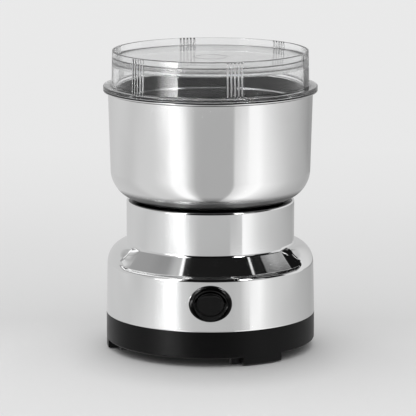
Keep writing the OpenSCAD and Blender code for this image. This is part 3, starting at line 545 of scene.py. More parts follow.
# Bezel and button
def oval_point(half, angle, y):
    """A point in metres on an oval round the switch's axis."""
    a = math.radians(angle)
    return Vector((half[0] * math.cos(a), y, SWITCH_Z + half[1] * math.sin(a))) * MM


def wall_front(x, z):
    """The lower wall's outer surface, as a place along Y."""
    r = FOOT_R - WALL_LEAN * (z - FOOT_Z) / (SHOULDER_Z - FOOT_Z)
    return -math.sqrt(r * r - x * x)


def seat_place(half, angle):
    """Where an oval round the switch's axis meets the lower wall, as a place along Y."""
    a = math.radians(angle)
    return wall_front(half[0] * math.cos(a), SWITCH_Z + half[1] * math.sin(a)) - SEAT_PROUD


def build_bezel():
    """The ring round the button: a crest between two slopes, its seat on the wall and its barrel."""
    front = BEZEL_LOW.y
    barrel = (BARREL_R, BARREL_R)
    columns = []
    for angle in even_angles(2.5):
        low = smooth_share(-math.sin(math.radians(angle)), *BEZEL_CHANGE)
        crest = BEZEL_CREST[0] + (BEZEL_CREST[1] - BEZEL_CREST[0]) * low
        inside = BEZEL_INSIDE[0] + (BEZEL_INSIDE[1] - BEZEL_INSIDE[0]) * low
        column = []
        for i in range(-BEZEL_RINGS, BEZEL_RINGS + 1):
            t = math.sin(math.radians(90 * i / BEZEL_RINGS))
            share = crest + (crest if t < 0 else 1 - crest) * t
            half = [o + (w - o) * share for o, w in zip(OPENING, BEZEL)]
            if t < 0:
                back = inside * abs(t) ** 3
            else:
                back = BEZEL_SLOPE * t + (BEZEL_EDGE - BEZEL_SLOPE) * t ** 8
            column.append(oval_point(half, angle, front + back))
        seat = seat_place(BEZEL, angle)
        rings = ((BEZEL, seat - BEZEL_BAND), (BEZEL, seat), (barrel, seat_place(barrel, angle)),
                 (barrel, LIP_BACK), (OPENING, LIP_BACK))
        columns.append(column + [oval_point(half, angle, y) for half, y in rings])
    return make_piece("bezel_oval", columns, True, "root", "gloss_black", "switch_bezel", sharp=40)


def pad_top(x):
    """The upper border of the button's matte pad."""
    return SCOOP_LOW + SCOOP_RISE * math.sqrt(max(0, 1 - (x / PAD_TOP_HALF) ** 2))


def scoop_depth(x, z):
    """How far the button's face lies behind its rim: steep at the upper edge, shallow at the lower."""
    width = max(0, 1 - (x / CAP[0]) ** 2)
    edge = CAP[1] * math.sqrt(width)
    bottom = pad_top(x)
    wall = smooth_share(edge - z, 0, max(SCOOP_LEAST_WALL, edge - bottom))
    floor = 1 - SCOOP_FLOOR_RISE * min(1, max(0, (bottom - z) / (bottom + CAP[1])))
    return SCOOP_DEPTH * math.sqrt(width) * wall * floor


def build_button():
    """The button: its scooped face, rounded edge and skirt, then the catch, the stem and the rivet."""
    front = BEZEL_LOW.y + CAP_RECESS
    rim = 1 - CAP_EDGE / CAP[1]
    columns = []
    for angle in even_angles(3):
        a = math.radians(angle)
        column = []
        for i in range(CAP_RINGS + 1):
            half = [size * rim * i / CAP_RINGS for size in CAP]
            depth = scoop_depth(half[0] * math.cos(a), half[1] * math.sin(a))
            column.append(oval_point(half, angle, front + depth))
        rim_y = column[-1].y / MM
        for i in range(1, 10):
            b = math.radians(10 * i)
            half = [size - CAP_EDGE * size / CAP[1] * (1 - math.sin(b)) for size in CAP]
            column.append(oval_point(half, angle, rim_y + CAP_EDGE * (1 - math.cos(b))))
        column.append(oval_point(CAP, angle, rim_y + CAP_EDGE + CAP_SKIRT))
        column.append(oval_point(CAP, angle, CATCH[1]))
        column += [oval_point((CATCH[0], CATCH[0]), angle, y) for y in CATCH[1:]]
        for radius, y in (STEM, RIVET):
            column.append(oval_point((radius, radius), angle, column[-1].y / MM))
            column.append(oval_point((radius, radius), angle, y))
        column.append(oval_point((0, 0), angle, RIVET[1]))
        columns.append(column)
    return make_piece("button_oval", columns, False, "button", "button_black", "button_cap",
                      sharp=50)


# Return spring
def build_return_coil():
    """The spring's own mesh again, as a piece of its own."""
    node = frame["nodes"]["return_spring"]
    piece = new_object("return_coil", node.data.copy())
    piece.matrix_world = node.matrix_world
    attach(piece, "root")
    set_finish(piece, "spring_steel")
    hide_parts("return_spring")
    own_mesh(piece)
    return piece


# Node trees
class Graph:
    """A short way to write a node tree."""

    def __init__(self, tree):
        self.tree = tree

    def node(self, kind, inputs=None, **settings):
        made = self.tree.nodes.new(kind)
        for key, value in settings.items():
            setattr(made, key, value)
        for key, value in (inputs or {}).items():
            self.feed(made.inputs[key], value)
        return made

    def out(self, kind, inputs=None, **settings):
        """The first output of a new node."""
        return self.node(kind, inputs, **settings).outputs[0]

    def feed(self, socket, value):
        if isinstance(value, bpy.types.NodeSocket):
            self.tree.links.new(value, socket)
        else:
            socket.default_value = value

    def math(self, operation, *values):
        return self.out("ShaderNodeMath", dict(enumerate(values)), operation=operation)

    def times(self, a, b):
        return self.math("MULTIPLY", a, b)

    def plus(self, a, b):
        return self.math("ADD", a, b)

    def minus(self, a, b):
        return self.math("SUBTRACT", a, b)

    def scaled(self, value, factor, start):
        """The value times a factor, plus a start."""
        return self.math("MULTIPLY_ADD", value, factor, start)

    def radius(self, x, y):
        return self.math("SQRT", self.plus(self.times(x, x), self.times(y, y)))

    def step(self, value, low, high):
        """0 up to low, 1 past high and a smooth change between; high may be the smaller of the two."""
        return self.out("ShaderNodeMapRange", {0: value, 1: low, 2: high},
                        interpolation_type="SMOOTHSTEP")

    def edge(self, value, place, blur):
        """A step from 0 to 1 centred on a place."""
        return self.step(value, place - blur, place + blur)

    def window(self, value, low, high, blur):
        """1 between two places, and 0 outside them."""
        return self.minus(self.edge(value, low, blur), self.edge(value, high, blur))

    def band(self, value, rising, falling):
        """1 between two steps, each given by its start and its end."""
        return self.minus(self.step(value, *rising), self.step(value, *falling))

    def mix(self, share, a, b):
        return self.out("ShaderNodeMix", {0: share, 2: a, 3: b}, data_type="FLOAT")

    def ramp(self, value, stops):
        """Light read off a few stops, each an angle or place and a grey from 0 to 255."""
        low, high = stops[0][0], stops[-1][0]
        share = self.out("ShaderNodeMapRange", {0: value, 1: low, 2: high})
        made = self.node("ShaderNodeValToRGB", {0: share})
        elements = made.color_ramp.elements
        for place, grey in stops[1:-1]:
            elements.new((place - low) / (high - low))
        for element, (place, grey) in zip(elements, stops):
            element.color = grey_colour(grey)
        return self.out("ShaderNodeSeparateColor", {0: made.outputs[0]})

    def split(self, vector):
        return list(self.node("ShaderNodeSeparateXYZ", {0: vector}).outputs)

    def place(self):
        """Place in the piece's own space, in metres, as x, y and z."""
        return self.split(self.node("ShaderNodeTexCoord").outputs["Object"])


def light(grey):
    """Linear light of an sRGB grey from 0 to 255."""
    value = grey / 255
    return value / 12.92 if value < 0.04045 else ((value + 0.055) / 1.055) ** 2.4


def grey_colour(grey):
    return (light(grey),) * 3 + (1,)


def metres(start, offsets):
    """Places in metres, from offsets in millimetres."""
    return [(start + offset) * MM for offset in offsets]


# The studio, as polished surfaces mirror it. Its lights are placed by direction: turn goes from the
# front towards +X and rise goes up from the horizon, both in degrees. The metal gives back this share
# of a light, and the greys are written as they show in it.
METAL_SHARE = 0.9
TURN_BLUR = 1.5
RISE_BLUR = 1.0

# Less light from straight below, by rise
FOOT_LIGHT = [(-90, 60), (-85, 120), (-78, 183), (-71, 215), (-65, 237), (-60, 253), (-56, 255)]

# Reflections in the bowl, the neck and the lower wall, by turn, each in two ramps that meet at a step
BOWL_LEFT = [(-180, 200), (-157, 191), (-131, 199), (-110, 204), (-68, 205), (-58, 212), (-49, 228),
             (-43, 255), (-31, 255), (-24, 210), (-17, 172), (-9, 167), (0, 168)]
BOWL_RIGHT = [(20, 210), (30, 219), (46, 248), (58, 255), (66, 238), (85, 212), (109, 186),
              (126, 166), (146, 147), (180, 155)]
BOWL_STEP = 27
NECK_LEFT = [(-180, 192), (-130, 197), (-100, 191), (-80, 203), (-66, 218), (-56, 252), (-36, 255),
             (-27, 200), (-14, 186), (10, 181), (42, 178)]
NECK_RIGHT = [(40, 252), (48, 252), (60, 224), (72, 203), (90, 188), (120, 175), (150, 162),
              (180, 180)]
NECK_STEP = 44
WALL_LEFT = [(-180, 197), (-100, 188), (-84, 190), (-66, 209), (-57, 226), (-50, 250), (-39, 250),
             (-31, 206), (-20, 187), (0, 181)]
WALL_RIGHT = [(24, 182), (33, 188), (40, 222), (48, 241), (56, 250), (65, 222), (75, 206), (95, 194),
              (121, 176), (145, 164), (180, 170)]
WALL_STEP = 24
STEP_BLUR = 0.8

# These three surfaces mirror three bands of rise, which meet at a (rise, blur). The bowl sees the
# lowest one in front and the lower wall does so behind, and the highest band is the other way round.
LOW_BAND = (-11.35, 0.15)
HIGH_BAND = (-10.4, 0.1)
BEHIND = (88.0, 112.0)

# Over them, up to the ceiling: a dark side where the camera stands, and bright walls beside it
LID_BAND = (-8.1, 0.3)
UPPER_LEFT = [(-180, 196), (-100, 194), (-66, 190), (-61, 205), (-36, 215), (-33, 12), (0, 10)]
UPPER_RIGHT = [(0, 10), (32, 12), (35, 175), (60, 175), (68, 190), (110, 214), (140, 206), (165, 185),
               (180, 190)]
UPPER_STEP = (0, 0.1)

# A light box on the left for the lid: by turn it fades in slowly and ends more sharply
LID_BOX_FADE = (-68, -37)
LID_BOX_END = (-37, -39)
LID_BOX_RISE = (-7.7, 2.0, 0.3)
LID_BOX_LIGHT = 15.0

# A dark flag on the right, and a high light box on either side
FLAG_TURN = (64, 92)
FLAG_RISE = (6, 33)
HIGH_BOXES = ((-50, -37), (37, 50))
HIGH_BOX_RISE = (27, 42)
HIGH_BOX_LIGHT = 9.0

# The ceiling, by x / z of the direction. It is dark between two grey sides, with a bright stripe at the
# left end of the dark part and a bright slit near its right end.
CEILING_BAND = (26.0, 31.0)
LEAST_Z = 0.05
CEILING_LEFT = [(-1.9, 176), (-1.4, 152), (-1.03, 147), (-0.84, 131), (-0.7, 134), (-0.6, 165),
                (-0.5, 180), (0, 184)]
CEILING_RIGHT = [(0.7, 135), (0.92, 143), (1.0, 150), (1.06, 168), (1.15, 176), (1.22, 168),
                 (1.3, 160), (1.9, 180)]
DARK_CEILING = 26
CEILING_DARK_END = (0.905, 0.01)
STRIPE = (-0.485, -0.435)
SLIT = (0.655, 0.69)
STRIPE_BLUR = 0.006
STRIPE_LIGHT = 1.05

# The flat panel sees one line of the ceiling: y / z of the direction is a series in (x / z) squared.
# The near screen starts a little this side of it, and farther from it in the middle.
PANEL_LINE = (-0.41, 0.53, 0.075)
LINE_HALF = 0.02
LINE_DROP = 0.28
DROP_SIZE = (0.35, 0.55)
LINE_BLUR = 0.012
ACROSS_BLUR = 0.03

# The panel's rounded borders and its hollow ends see both sides of that line. Nearer to the camera is a
# screen, read by y / z and by x / z, and farther away another one, read by x / z. Both are light on the
# left and dark on the right.
DARK_SCREEN = 20
NEAR_DEEP = [(-0.9, 225), (-0.5, 205), (-0.42, 185), (-0.33, 165), (0.1, 150), (0.5, 150)]
NEAR_WIDE = [(-1.2, 100), (-0.76, 150), (-0.67, 172), (-0.6, 200), (-0.55, 215), (0, 215)]
NEAR_LEFT_END = -0.43
NEAR_LEFT_TURN = (-33.0, 1.0)
FAR_WIDE = [(-1.0, 150), (-0.85, 155), (-0.72, 165), (-0.6, 185), (-0.5, 200), (-0.4, 210),
            (-0.3, 210)]
FAR_REACH = 1.2
FAR_LEFT = (-0.97, -0.34)
FAR_RIGHT = (0.1, 0.97)
FAR_BORDER = (0.36, 0.06)
FAR_BORDER_GREY = 250

# A light beyond the line that the lip under the panel's right part mirrors
LIP_OFF = (0.06, 0.2)
LIP_ACROSS = (0.66, 1.0)


def ceiling_light(graph, x, y, z, turn):
    """The light from overhead, for the sunken panel and what lies round it."""
    high = graph.math("MAXIMUM", z, LEAST_Z)
    across = graph.math("DIVIDE", x, high)
    ahead = graph.math("DIVIDE", y, high)
    left = graph.mix(graph.step(across, STRIPE[1], STRIPE[1] + 2 * STRIPE_BLUR),
                     graph.ramp(across, CEILING_LEFT), light(DARK_CEILING))
    plain = graph.mix(graph.edge(across, *CEILING_DARK_END), left, graph.ramp(across, CEILING_RIGHT))
    lines = graph.math("MAXIMUM", graph.window(across, *STRIPE, STRIPE_BLUR),
                       graph.window(across, *SLIT, STRIPE_BLUR))
    total = graph.mix(lines, plain, STRIPE_LIGHT)

    size = graph.math("ABSOLUTE", across)
    square = graph.times(size, size)
    line = graph.scaled(square, graph.scaled(square, PANEL_LINE[2], PANEL_LINE[1]), PANEL_LINE[0])
    off = graph.minus(ahead, line)
    far_left = graph.mix(graph.edge(off, *FAR_BORDER), graph.ramp(across, FAR_WIDE),
                         light(FAR_BORDER_GREY))
    far = graph.window(off, LINE_HALF, FAR_REACH, LINE_BLUR)
    for span, shown in ((FAR_LEFT, far_left), (FAR_RIGHT, light(DARK_SCREEN))):
        share = graph.times(far, graph.window(across, *span, ACROSS_BLUR))
        total = graph.mix(share, total, shown)
    lip = graph.times(graph.window(off, *LIP_OFF, LINE_BLUR),
                      graph.window(across, *LIP_ACROSS, ACROSS_BLUR))
    total = graph.mix(lip, total, 1.0)

    near_left = graph.math("MAXIMUM", graph.ramp(ahead, NEAR_DEEP), graph.ramp(across, NEAR_WIDE))
    dark_side = graph.math("MAXIMUM", graph.edge(across, NEAR_LEFT_END, ACROSS_BLUR),
                           graph.edge(turn, *NEAR_LEFT_TURN))
    near = graph.mix(dark_side, near_left, light(DARK_SCREEN))
    drop = graph.times(graph.minus(1.0, graph.step(size, *DROP_SIZE)), LINE_DROP)
    past = graph.plus(graph.plus(off, drop), LINE_HALF)
    return graph.mix(graph.edge(past, 0.0, LINE_BLUR), near, total)


def studio_light(graph, direction):
    """The light that polished surfaces see, as a value read off the direction."""
    x, y, z = direction
    degrees = 180 / math.pi
    turn = graph.times(graph.math("ARCTAN2", x, graph.times(y, -1.0)), degrees)
    rise = graph.times(graph.math("ARCSINE", z), degrees)

    def sides(left, right, place, blur):
        return graph.mix(graph.edge(turn, place, blur), graph.ramp(turn, left), graph.ramp(turn, right))

    bowl = sides(BOWL_LEFT, BOWL_RIGHT, BOWL_STEP, STEP_BLUR)
    neck = sides(NECK_LEFT, NECK_RIGHT, NECK_STEP, STEP_BLUR)
    wall = sides(WALL_LEFT, WALL_RIGHT, WALL_STEP, STEP_BLUR)
    behind = graph.step(graph.math("ABSOLUTE", turn), *BEHIND)
    total = graph.mix(graph.edge(rise, *LOW_BAND), graph.mix(behind, bowl, wall), neck)
    total = graph.mix(graph.edge(rise, *HIGH_BAND), total, graph.mix(behind, wall, bowl))

    upper = sides(UPPER_LEFT, UPPER_RIGHT, *UPPER_STEP)
    box_turn = graph.times(graph.step(turn, *LID_BOX_FADE), graph.step(turn, *LID_BOX_END))
    upper = graph.mix(graph.times(box_turn, graph.window(rise, *LID_BOX_RISE)), upper, LID_BOX_LIGHT)
    flag = graph.times(graph.window(turn, *FLAG_TURN, TURN_BLUR),
                       graph.window(rise, *FLAG_RISE, RISE_BLUR))
    upper = graph.mix(flag, upper, light(DARK_SCREEN))
    total = graph.mix(graph.edge(rise, *LID_BAND), total, upper)

    total = graph.mix(graph.step(rise, *CEILING_BAND), total, ceiling_light(graph, x, y, z, turn))
    box_rise = graph.window(rise, *HIGH_BOX_RISE, RISE_BLUR)
    for span in HIGH_BOXES:
        box = graph.times(graph.window(turn, *span, TURN_BLUR), box_rise)
        total = graph.mix(box, total, HIGH_BOX_LIGHT)
    return graph.times(total, graph.ramp(rise, FOOT_LIGHT))


# The plain room: its light on matt surfaces at the horizon and overhead, and the backdrop's grey
ROOM_HORIZON = 0.28
ROOM_ZENITH = 1.2
BACKDROP_GREY = 230


def build_world():
    """Camera rays, also through the lid, see the backdrop, mirrored rays the studio, others the room."""
    world = bpy.data.worlds.new("studio")
    bpy.context.scene.world = world
    world.use_nodes = True
    world.cycles.sampling_method = "NONE"
    tree = world.node_tree
    tree.nodes.clear()
    graph = Graph(tree)

    def glow(colour):
        return graph.out("ShaderNodeBackground", {0: colour})

    def choice(share, first, second):
        return graph.out("ShaderNodeMixShader", {0: share, 1: first, 2: second})

    direction = graph.split(graph.node("ShaderNodeTexCoord").outputs["Generated"])
    polished = glow(graph.math("DIVIDE", studio_light(graph, direction), METAL_SHARE))
    height = graph.math("MAXIMUM", direction[2], 0.0)
    room = glow(graph.scaled(height, ROOM_ZENITH - ROOM_HORIZON, ROOM_HORIZON))
    backdrop = glow(grey_colour(BACKDROP_GREY))
    path = graph.node("ShaderNodeLightPath").outputs
    mirrored = graph.math("MINIMUM", path["Glossy Depth"], 1.0)
    glossy = graph.times(mirrored, graph.minus(1.0, path["Is Diffuse Ray"]))
    direct = graph.math("MAXIMUM", path["Is Camera Ray"], path["Is Transmission Ray"])
    both = choice(glossy, choice(direct, room, backdrop), polished)
    graph.node("ShaderNodeOutputWorld", {0: both})


# The floor: its greys by place along Y, painted light and shade that are darkest just behind the base,
# and the painted shadow round the base, given by its half widths along X and Y, its middle along Y, its
# fading border and its depth
FLOOR_R = 7.0
FLOOR_TONES = [(-0.4, 226), (-0.15, 224), (-0.08, 223), (0.0, 221), (0.06, 213), (0.11, 214),
               (0.26, 218), (0.44, 224), (0.65, 228), (1.6, 229)]
SHADE_HALF = (0.068, 0.066)
SHADE_MIDDLE = -0.036
SHADE_BORDER = (0.6, 1.15)
SHADE_DEPTH = 0.12


def build_floor():
    bpy.ops.mesh.primitive_circle_add(vertices=128, radius=FLOOR_R, fill_type="NGON")
    floor = bpy.context.object
    floor.name = "floor"
    paint = bpy.data.materials.new("floor_paint")
    paint.use_nodes = True
    tree = paint.node_tree
    tree.nodes.clear()
    graph = Graph(tree)
    x, y = graph.place()[:2]
    across = graph.times(x, 1 / SHADE_HALF[0])
    ahead = graph.scaled(y, 1 / SHADE_HALF[1], -SHADE_MIDDLE / SHADE_HALF[1])
    away = graph.radius(across, ahead)
    # Painted shadow round the base
    shade = graph.times(graph.minus(1.0, graph.step(away, *SHADE_BORDER)), SHADE_DEPTH)
    grey = graph.times(graph.ramp(y, FLOOR_TONES), graph.minus(1.0, shade))
    graph.node("ShaderNodeOutputMaterial", {0: graph.out("ShaderNodeBsdfDiffuse", {0: grey})})
    floor.data.materials.append(paint)
    floor.visible_glossy = False


# One wide soft lamp overhead, whose light comes a little from the left and from behind
LAMP_STRENGTH = 0.16 * math.pi
LAMP_WIDTH = 60
LAMP_TILT = (-14, -12, 0)


def build_lamp():
    data = bpy.data.lights.new("overhead", "SUN")
    data.energy = LAMP_STRENGTH
    data.angle = math.radians(LAMP_WIDTH)
    lamp = new_object("overhead", data)
    lamp.rotation_euler = [math.radians(a) for a in LAMP_TILT]
    lamp.visible_glossy = False


def build_camera():
    data = bpy.data.cameras.new("camera")
    data.lens = CAMERA_LENS
    data.sensor_width = CAMERA_SENSOR
    data.shift_x = -AXIS_RIGHT_PIXELS / FRAME_PIXELS
    data.clip_end = CAMERA_REACH
    camera = new_object("camera", data)
    camera.location = CAMERA_PLACE
    camera.rotation_euler = (math.radians(CAMERA_TILT), 0, 0)
    bpy.context.scene.camera = camera


# Materials
class Surface(Graph):
    """A new material's node tree, with its shader."""

    def __init__(self, name, **settings):
        self.material = bpy.data.materials.new(name)
        self.material.use_nodes = True
        super().__init__(self.material.node_tree)
        self.shader = self.tree.nodes["Principled BSDF"]
        for key, value in settings.items():
            self.shader.inputs[key.replace("_", " ")].default_value = value

    def give(self, key, value):
        self.feed(self.shader.inputs[key], value)

    def noise(self, scale, detail, stretch=(1, 1, 1), place=None):
        """Noise in the piece's own space; scale is in features per metre."""
        place = place or self.node("ShaderNodeTexCoord").outputs["Object"]
        moved = self.out("ShaderNodeMapping", {"Vector": place, "Scale": stretch})
        return self.out("ShaderNodeTexNoise", {"Vector": moved, "Scale": scale, "Detail": detail})

    def between(self, value, low, high):
        """A noise value, which seldom leaves 0.3 to 0.7, spread from low to high."""
        return self.out("ShaderNodeMapRange", {0: value, 1: 0.3, 2: 0.7, 3: low, 4: high})

    def bump(self, height, strength, distance):
        looks = {"Height": height, "Strength": strength, "Distance": distance}
        self.give("Normal", self.out("ShaderNodeBump", looks))

    def tint(self, value, dark, pale):
        """Colour that wanders between two tints."""
        made = self.node("ShaderNodeMix", {0: value, 6: dark + (1,), 7: pale + (1,)}, data_type="RGBA")
        self.give("Base Color", made.outputs[2])

    def round_the_axis(self):
        """Place as (turn, radius, height), for marks that run round a turned or drawn piece."""
        x, y, z = self.place()
        turn = self.math("ARCTAN2", x, y)
        return self.out("ShaderNodeCombineXYZ", {0: turn, 1: self.radius(x, y), 2: z})


def chrome():
    graph = Surface("bright_chrome", Metallic=1.0)
    graph.give("Roughness", graph.between(graph.noise(28, 4), 0.045, 0.085))
    graph.tint(graph.noise(16, 2), (0.885, 0.89, 0.895), (0.915, 0.915, 0.91))
    graph.bump(graph.noise(900, 2), 0.02, 0.0001)
    return graph.material


# The bowl's foot is duller than the rest and darkened by painted shade, up to between these heights
DULL_SHADED_FOOT = (84.6, 88.5)
FOOT_SHADE_SHARE = 0.16
DULL_ROUGH = 0.3

# Drawing marks run round the bowl, and turning marks round a shaft: features per radian and per metre
DRAWN_MARKS = (1.5, 900, 5200)
TURNED_MARKS = (2, 2500, 2500)

# Painted shade on the outside, in the fold under the bead and in the one over it, by height from the rim
OUTER_FACE = (-0.35, -0.2)
FOLD_UNDER = ((-2.1, -1.9), (-1.25, -1.05))
FOLD_UNDER_SHARE = 0.75
FOLD_OVER = (-0.7, -0.52)
PAINTED_FOLD_SHADE = 0.95


def satin_steel():
    graph = Surface("satin_steel", Metallic=1.0)
    place = graph.round_the_axis()
    lines = graph.noise(1.0, 4, DRAWN_MARKS, place)
    haze = graph.noise(30, 3)
    radius, height = graph.split(place)[1:]
    # Painted shade lowers the foot's colour to a share of the rest, and its roughness rises too
    bright = graph.mix(graph.step(height, *metres(0, DULL_SHADED_FOOT)), FOOT_SHADE_SHARE, 1.0)
    dull = graph.times(graph.minus(1.0, bright), DULL_ROUGH)
    rough = graph.plus(graph.between(lines, 0.07, 0.11), graph.between(haze, 0.0, 0.03))
    graph.give("Roughness", graph.plus(rough, dull))
    # Painted shade: the outer face is darkened in the folds under and over the bead
    under = graph.band(height, *[metres(RIM_Z, pair) for pair in FOLD_UNDER])
    over = graph.step(height, *metres(RIM_Z, FOLD_OVER))
    outside = graph.step(radius, *metres(BOWL_R, OUTER_FACE))
    painted_fold_mask = graph.times(graph.scaled(under, FOLD_UNDER_SHARE, over), outside)
    shaded = graph.scaled(painted_fold_mask, -PAINTED_FOLD_SHADE, 1.0)
    tone = graph.times(graph.times(bright, shaded), graph.between(haze, 0.885, 0.915))
    graph.give("Base Color", tone)
    graph.bump(lines, 0.03, 0.00005)
    return graph.material


# The grip ribs are frosted where they stand proud of the wall and lie clear of the flange
RIB_PROUD_STEP = (0.25, 0.4)
RIB_FLANGE_STEP = (0.6, 0.9)
RIB_FROST = 0.4
RIB_ROUGH = 0.2

# The moulded corner under the lid's disc is hazier than the rest: its radii, and its heights below the
# disc's lower face and over its upper one
CORNER_RING = ((48.5, 49.2), (53.5, 53.8))
CORNER_LOW = (-2.5, -1.5)
CORNER_HIGH = (0.5, 1.0)
CORNER_HAZE = 0.22


def clear_plastic():
    graph = Surface("clear_plastic", Transmission_Weight=1.0, IOR=1.49,
                    Base_Color=(0.985, 0.988, 0.99, 1))
    x, y, z = graph.place()
    radius = graph.radius(x, y)
    wall = graph.scaled(z, -LID_LEAN, (LID_WALL_R + LID_LEAN * LID_FLANGE_TOP) * MM)
    proud = graph.step(graph.minus(radius, wall), *metres(0, RIB_PROUD_STEP))
    crest = graph.times(proud, graph.step(z, *metres(LID_FLANGE_TOP, RIB_FLANGE_STEP)))
    graph.give("Transmission Weight", graph.scaled(crest, -RIB_FROST, 1.0))
    ring = graph.band(radius, *[metres(0, pair) for pair in CORNER_RING])
    level = graph.band(z, metres(LID_DISC_LOW, CORNER_LOW), metres(LID_DISC_TOP, CORNER_HIGH))
    corner = graph.times(graph.times(ring, level), CORNER_HAZE)
    rough = graph.scaled(crest, RIB_ROUGH, graph.between(graph.noise(45, 4), 0.0, 0.03))
    graph.give("Roughness", graph.plus(rough, corner))
    graph.bump(graph.noise(60, 2), 0.03, 0.0004)
    return graph.material


def plastic(name, dark, pale, rough, grain, strength, specular=0.5):
    """Moulded plastic: a fine grain, and a gloss that wanders a little."""
    graph = Surface(name, Specular_IOR_Level=specular)
    cloud = graph.noise(60, 4)
    graph.tint(cloud, dark, pale)
    graph.give("Roughness", graph.between(cloud, rough - 0.05, rough + 0.06))
    graph.bump(graph.noise(grain, 2), strength, 0.0001)
    return graph.material


# The matte pad of button and ring, painted paler than the gloss as if lit, so that the scoop's upper
# wall above it shows as shade: its soft borders, and the painted highlight along its top
PAD_TOP_STEP = (-0.05, 0.15)
PAD_OVAL_STEP = (1.0, 0.9)
PAD_HIGHLIGHT_STEP = (0.5, 0.2)
PAD_LIT_TONE = (0.0095, 0.0125)
PAD_HIGHLIGHT_TONE = 0.004
PAD_ROUGH = (0.55, 0.66)
PAD_LEVEL = 0.1

# The gloss round it, whose level rises between two heights over the switch's axis, a painted highlight
# that is stronger over the top
GLOSS_TONE = 0.0008
GLOSS_ROUGH = 0.13
GLOSS_LEVEL = (0.14, 0.4)
GLOSS_HEIGHTS = (2.5, 4.5)


def switch_plastic(name):
    """Glossy black with the matte pad that button and ring share below the finger scoop, painted paler
    as if lit and with a painted highlight along its top; the gloss is stronger over the top as a painted
    highlight.
    """
    graph = Surface(name)
    x, z = graph.place()[::2]
    across = graph.times(x, 1 / MM)
    up = graph.minus(graph.times(z, 1 / MM), SWITCH_Z)

    def square(value, size):
        share = graph.math("DIVIDE", value, size)
        return graph.times(share, share)

    left = graph.math("MAXIMUM", graph.minus(1.0, square(across, PAD_TOP_HALF)), 0.0)
    under = graph.minus(graph.scaled(graph.math("SQRT", left), SCOOP_RISE, SCOOP_LOW), up)
    away = graph.plus(square(across, PAD[0]), square(up, PAD[1]))
    pad = graph.times(graph.step(under, *PAD_TOP_STEP), graph.step(away, *PAD_OVAL_STEP))
    # Painted highlight along the pad's top, and the pad itself painted paler as if lit
    line = graph.times(pad, graph.step(under, *PAD_HIGHLIGHT_STEP))
    cloud = graph.noise(60, 4)
    matte = graph.scaled(line, PAD_HIGHLIGHT_TONE, graph.between(cloud, *PAD_LIT_TONE))
    graph.give("Base Color", graph.mix(pad, GLOSS_TONE, matte))
    graph.give("Roughness", graph.mix(pad, GLOSS_ROUGH, graph.between(cloud, *PAD_ROUGH)))
    # Painted highlight: the gloss is stronger over the top of the ring
    level = graph.mix(graph.step(up, *GLOSS_HEIGHTS), *GLOSS_LEVEL)
    graph.give("Specular IOR Level", graph.mix(pad, level, PAD_LEVEL))
    graph.bump(graph.noise(3200, 2), 0.15, 0.0001)
    return graph.material


def metal(name, dark, pale, rough, scale=700, stretch=(1, 1, 1), turned=False):
    """Plain metal with fine tool marks; turned marks run round the axis."""
    graph = Surface(name, Metallic=1.0)
    if turned:
        marks = graph.noise(1.0, 4, TURNED_MARKS, graph.round_the_axis())
    else:
        marks = graph.noise(scale, 4, stretch)
    graph.tint(graph.noise(120, 3), dark, pale)
    graph.give("Roughness", graph.between(marks, rough - 0.07, rough + 0.1))
    graph.bump(marks, 0.12, 0.0001)
    return graph.material


# Blender's wave texture runs through this many radians in a unit of length and of scale
WAVE_RADIANS = 20


def banded(name, dark, pale, rough, bands, metallic):
    """Sheets or wires side by side: bands along Z, so many to the metre, rounded by a bump."""
    graph = Surface(name, Metallic=metallic)
    place = graph.node("ShaderNodeTexCoord").outputs["Object"]
    scale = bands * 2 * math.pi / WAVE_RADIANS
    settings = {"Vector": place, "Scale": scale, "Distortion": 0.4, "Detail": 1.0}
    wave = graph.node("ShaderNodeTexWave", settings, bands_direction="Z").outputs["Fac"]
    graph.tint(wave, dark, pale)
    graph.give("Roughness", graph.between(graph.noise(200, 3), rough - 0.08, rough + 0.1))
    graph.bump(wave, 0.5, 0.0003)
    return graph.material


def rubber(name):
    graph = Surface(name, Specular_IOR_Level=0.3)
    cloud = graph.noise(220, 4)
    graph.tint(cloud, (0.008, 0.008, 0.009), (0.02, 0.02, 0.021))
    graph.give("Roughness", graph.between(cloud, 0.62, 0.85))
    graph.bump(graph.noise(2600, 3), 0.3, 0.0002)
    return graph.material


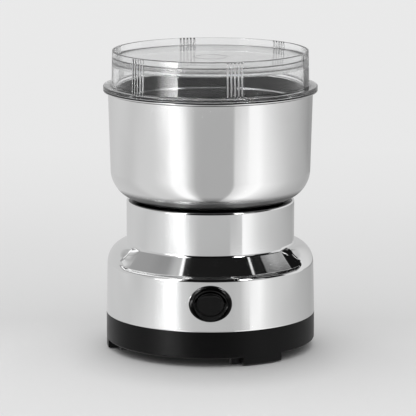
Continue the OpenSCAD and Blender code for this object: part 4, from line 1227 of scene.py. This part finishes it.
def materials():
    """Every material slot of the part, by name."""
    return {
        "bright_steel": chrome(),
        "satin_steel": satin_steel(),
        "clear_plastic": clear_plastic(),
        "black_plastic": plastic("black_moulding", (0.0018, 0.0018, 0.0019), (0.0028, 0.0028, 0.003),
                                 0.34, 2600, 0.1, 0.15),
        "gloss_black": switch_plastic("gloss_black"),
        "button_black": switch_plastic("button_matte"),
        "frame_plastic": plastic("frame_plastic", (0.012, 0.012, 0.013), (0.022, 0.022, 0.024),
                                 0.5, 2200, 0.25),
        "phenolic": plastic("phenolic", (0.035, 0.018, 0.01), (0.075, 0.04, 0.022), 0.42, 1500, 0.25),
        "nylon": plastic("nylon", (0.66, 0.64, 0.56), (0.74, 0.72, 0.65), 0.4, 1500, 0.15),
        "wire_insulation": plastic("wire_insulation", (0.16, 0.012, 0.012), (0.24, 0.02, 0.018),
                                   0.4, 1200, 0.1),
        "carbon": plastic("carbon", (0.012, 0.012, 0.013), (0.035, 0.035, 0.037), 0.6, 2500, 0.4),
        "rubber": rubber("black_rubber"),
        "zinc_screw": metal("zinc_plate", (0.56, 0.58, 0.6), (0.72, 0.73, 0.72), 0.32),
        "brass": metal("brass", (0.66, 0.5, 0.2), (0.8, 0.64, 0.3), 0.28),
        "bronze": metal("sintered_bronze", (0.42, 0.26, 0.12), (0.58, 0.38, 0.2), 0.5, 2500),
        "laminations": banded("laminations", (0.14, 0.145, 0.15), (0.4, 0.41, 0.42), 0.45, 200, 0.9),
        "copper": banded("enamelled_copper", (0.36, 0.12, 0.04), (0.72, 0.3, 0.12), 0.3, 220, 0.85),
        "spring_steel": metal("spring_steel", (0.5, 0.5, 0.52), (0.66, 0.66, 0.67), 0.28),
        "ground_steel": metal("ground_steel", (0.62, 0.62, 0.63), (0.74, 0.74, 0.75), 0.22, turned=True),
        "blade_steel": metal("blade_steel", (0.64, 0.64, 0.65), (0.76, 0.76, 0.77), 0.24,
                             260, (1, 14, 14)),
    }


def dress(piece, material):
    piece.data.materials.clear()
    piece.data.materials.append(material)


def main():
    bpy.context.scene.view_settings.view_transform = "Standard"
    build_camera()
    build_world()
    build_floor()
    build_lamp()
    palette = materials()
    for row in frame["record"]["subparts"]:
        dress(frame["nodes"][row["node"]], palette[row["material_slot"]])
    for piece in (build_housing(), build_bowl(), build_lid(), build_bezel(), build_button(),
                  build_return_coil()):
        dress(piece, palette[piece["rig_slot"]])


main()
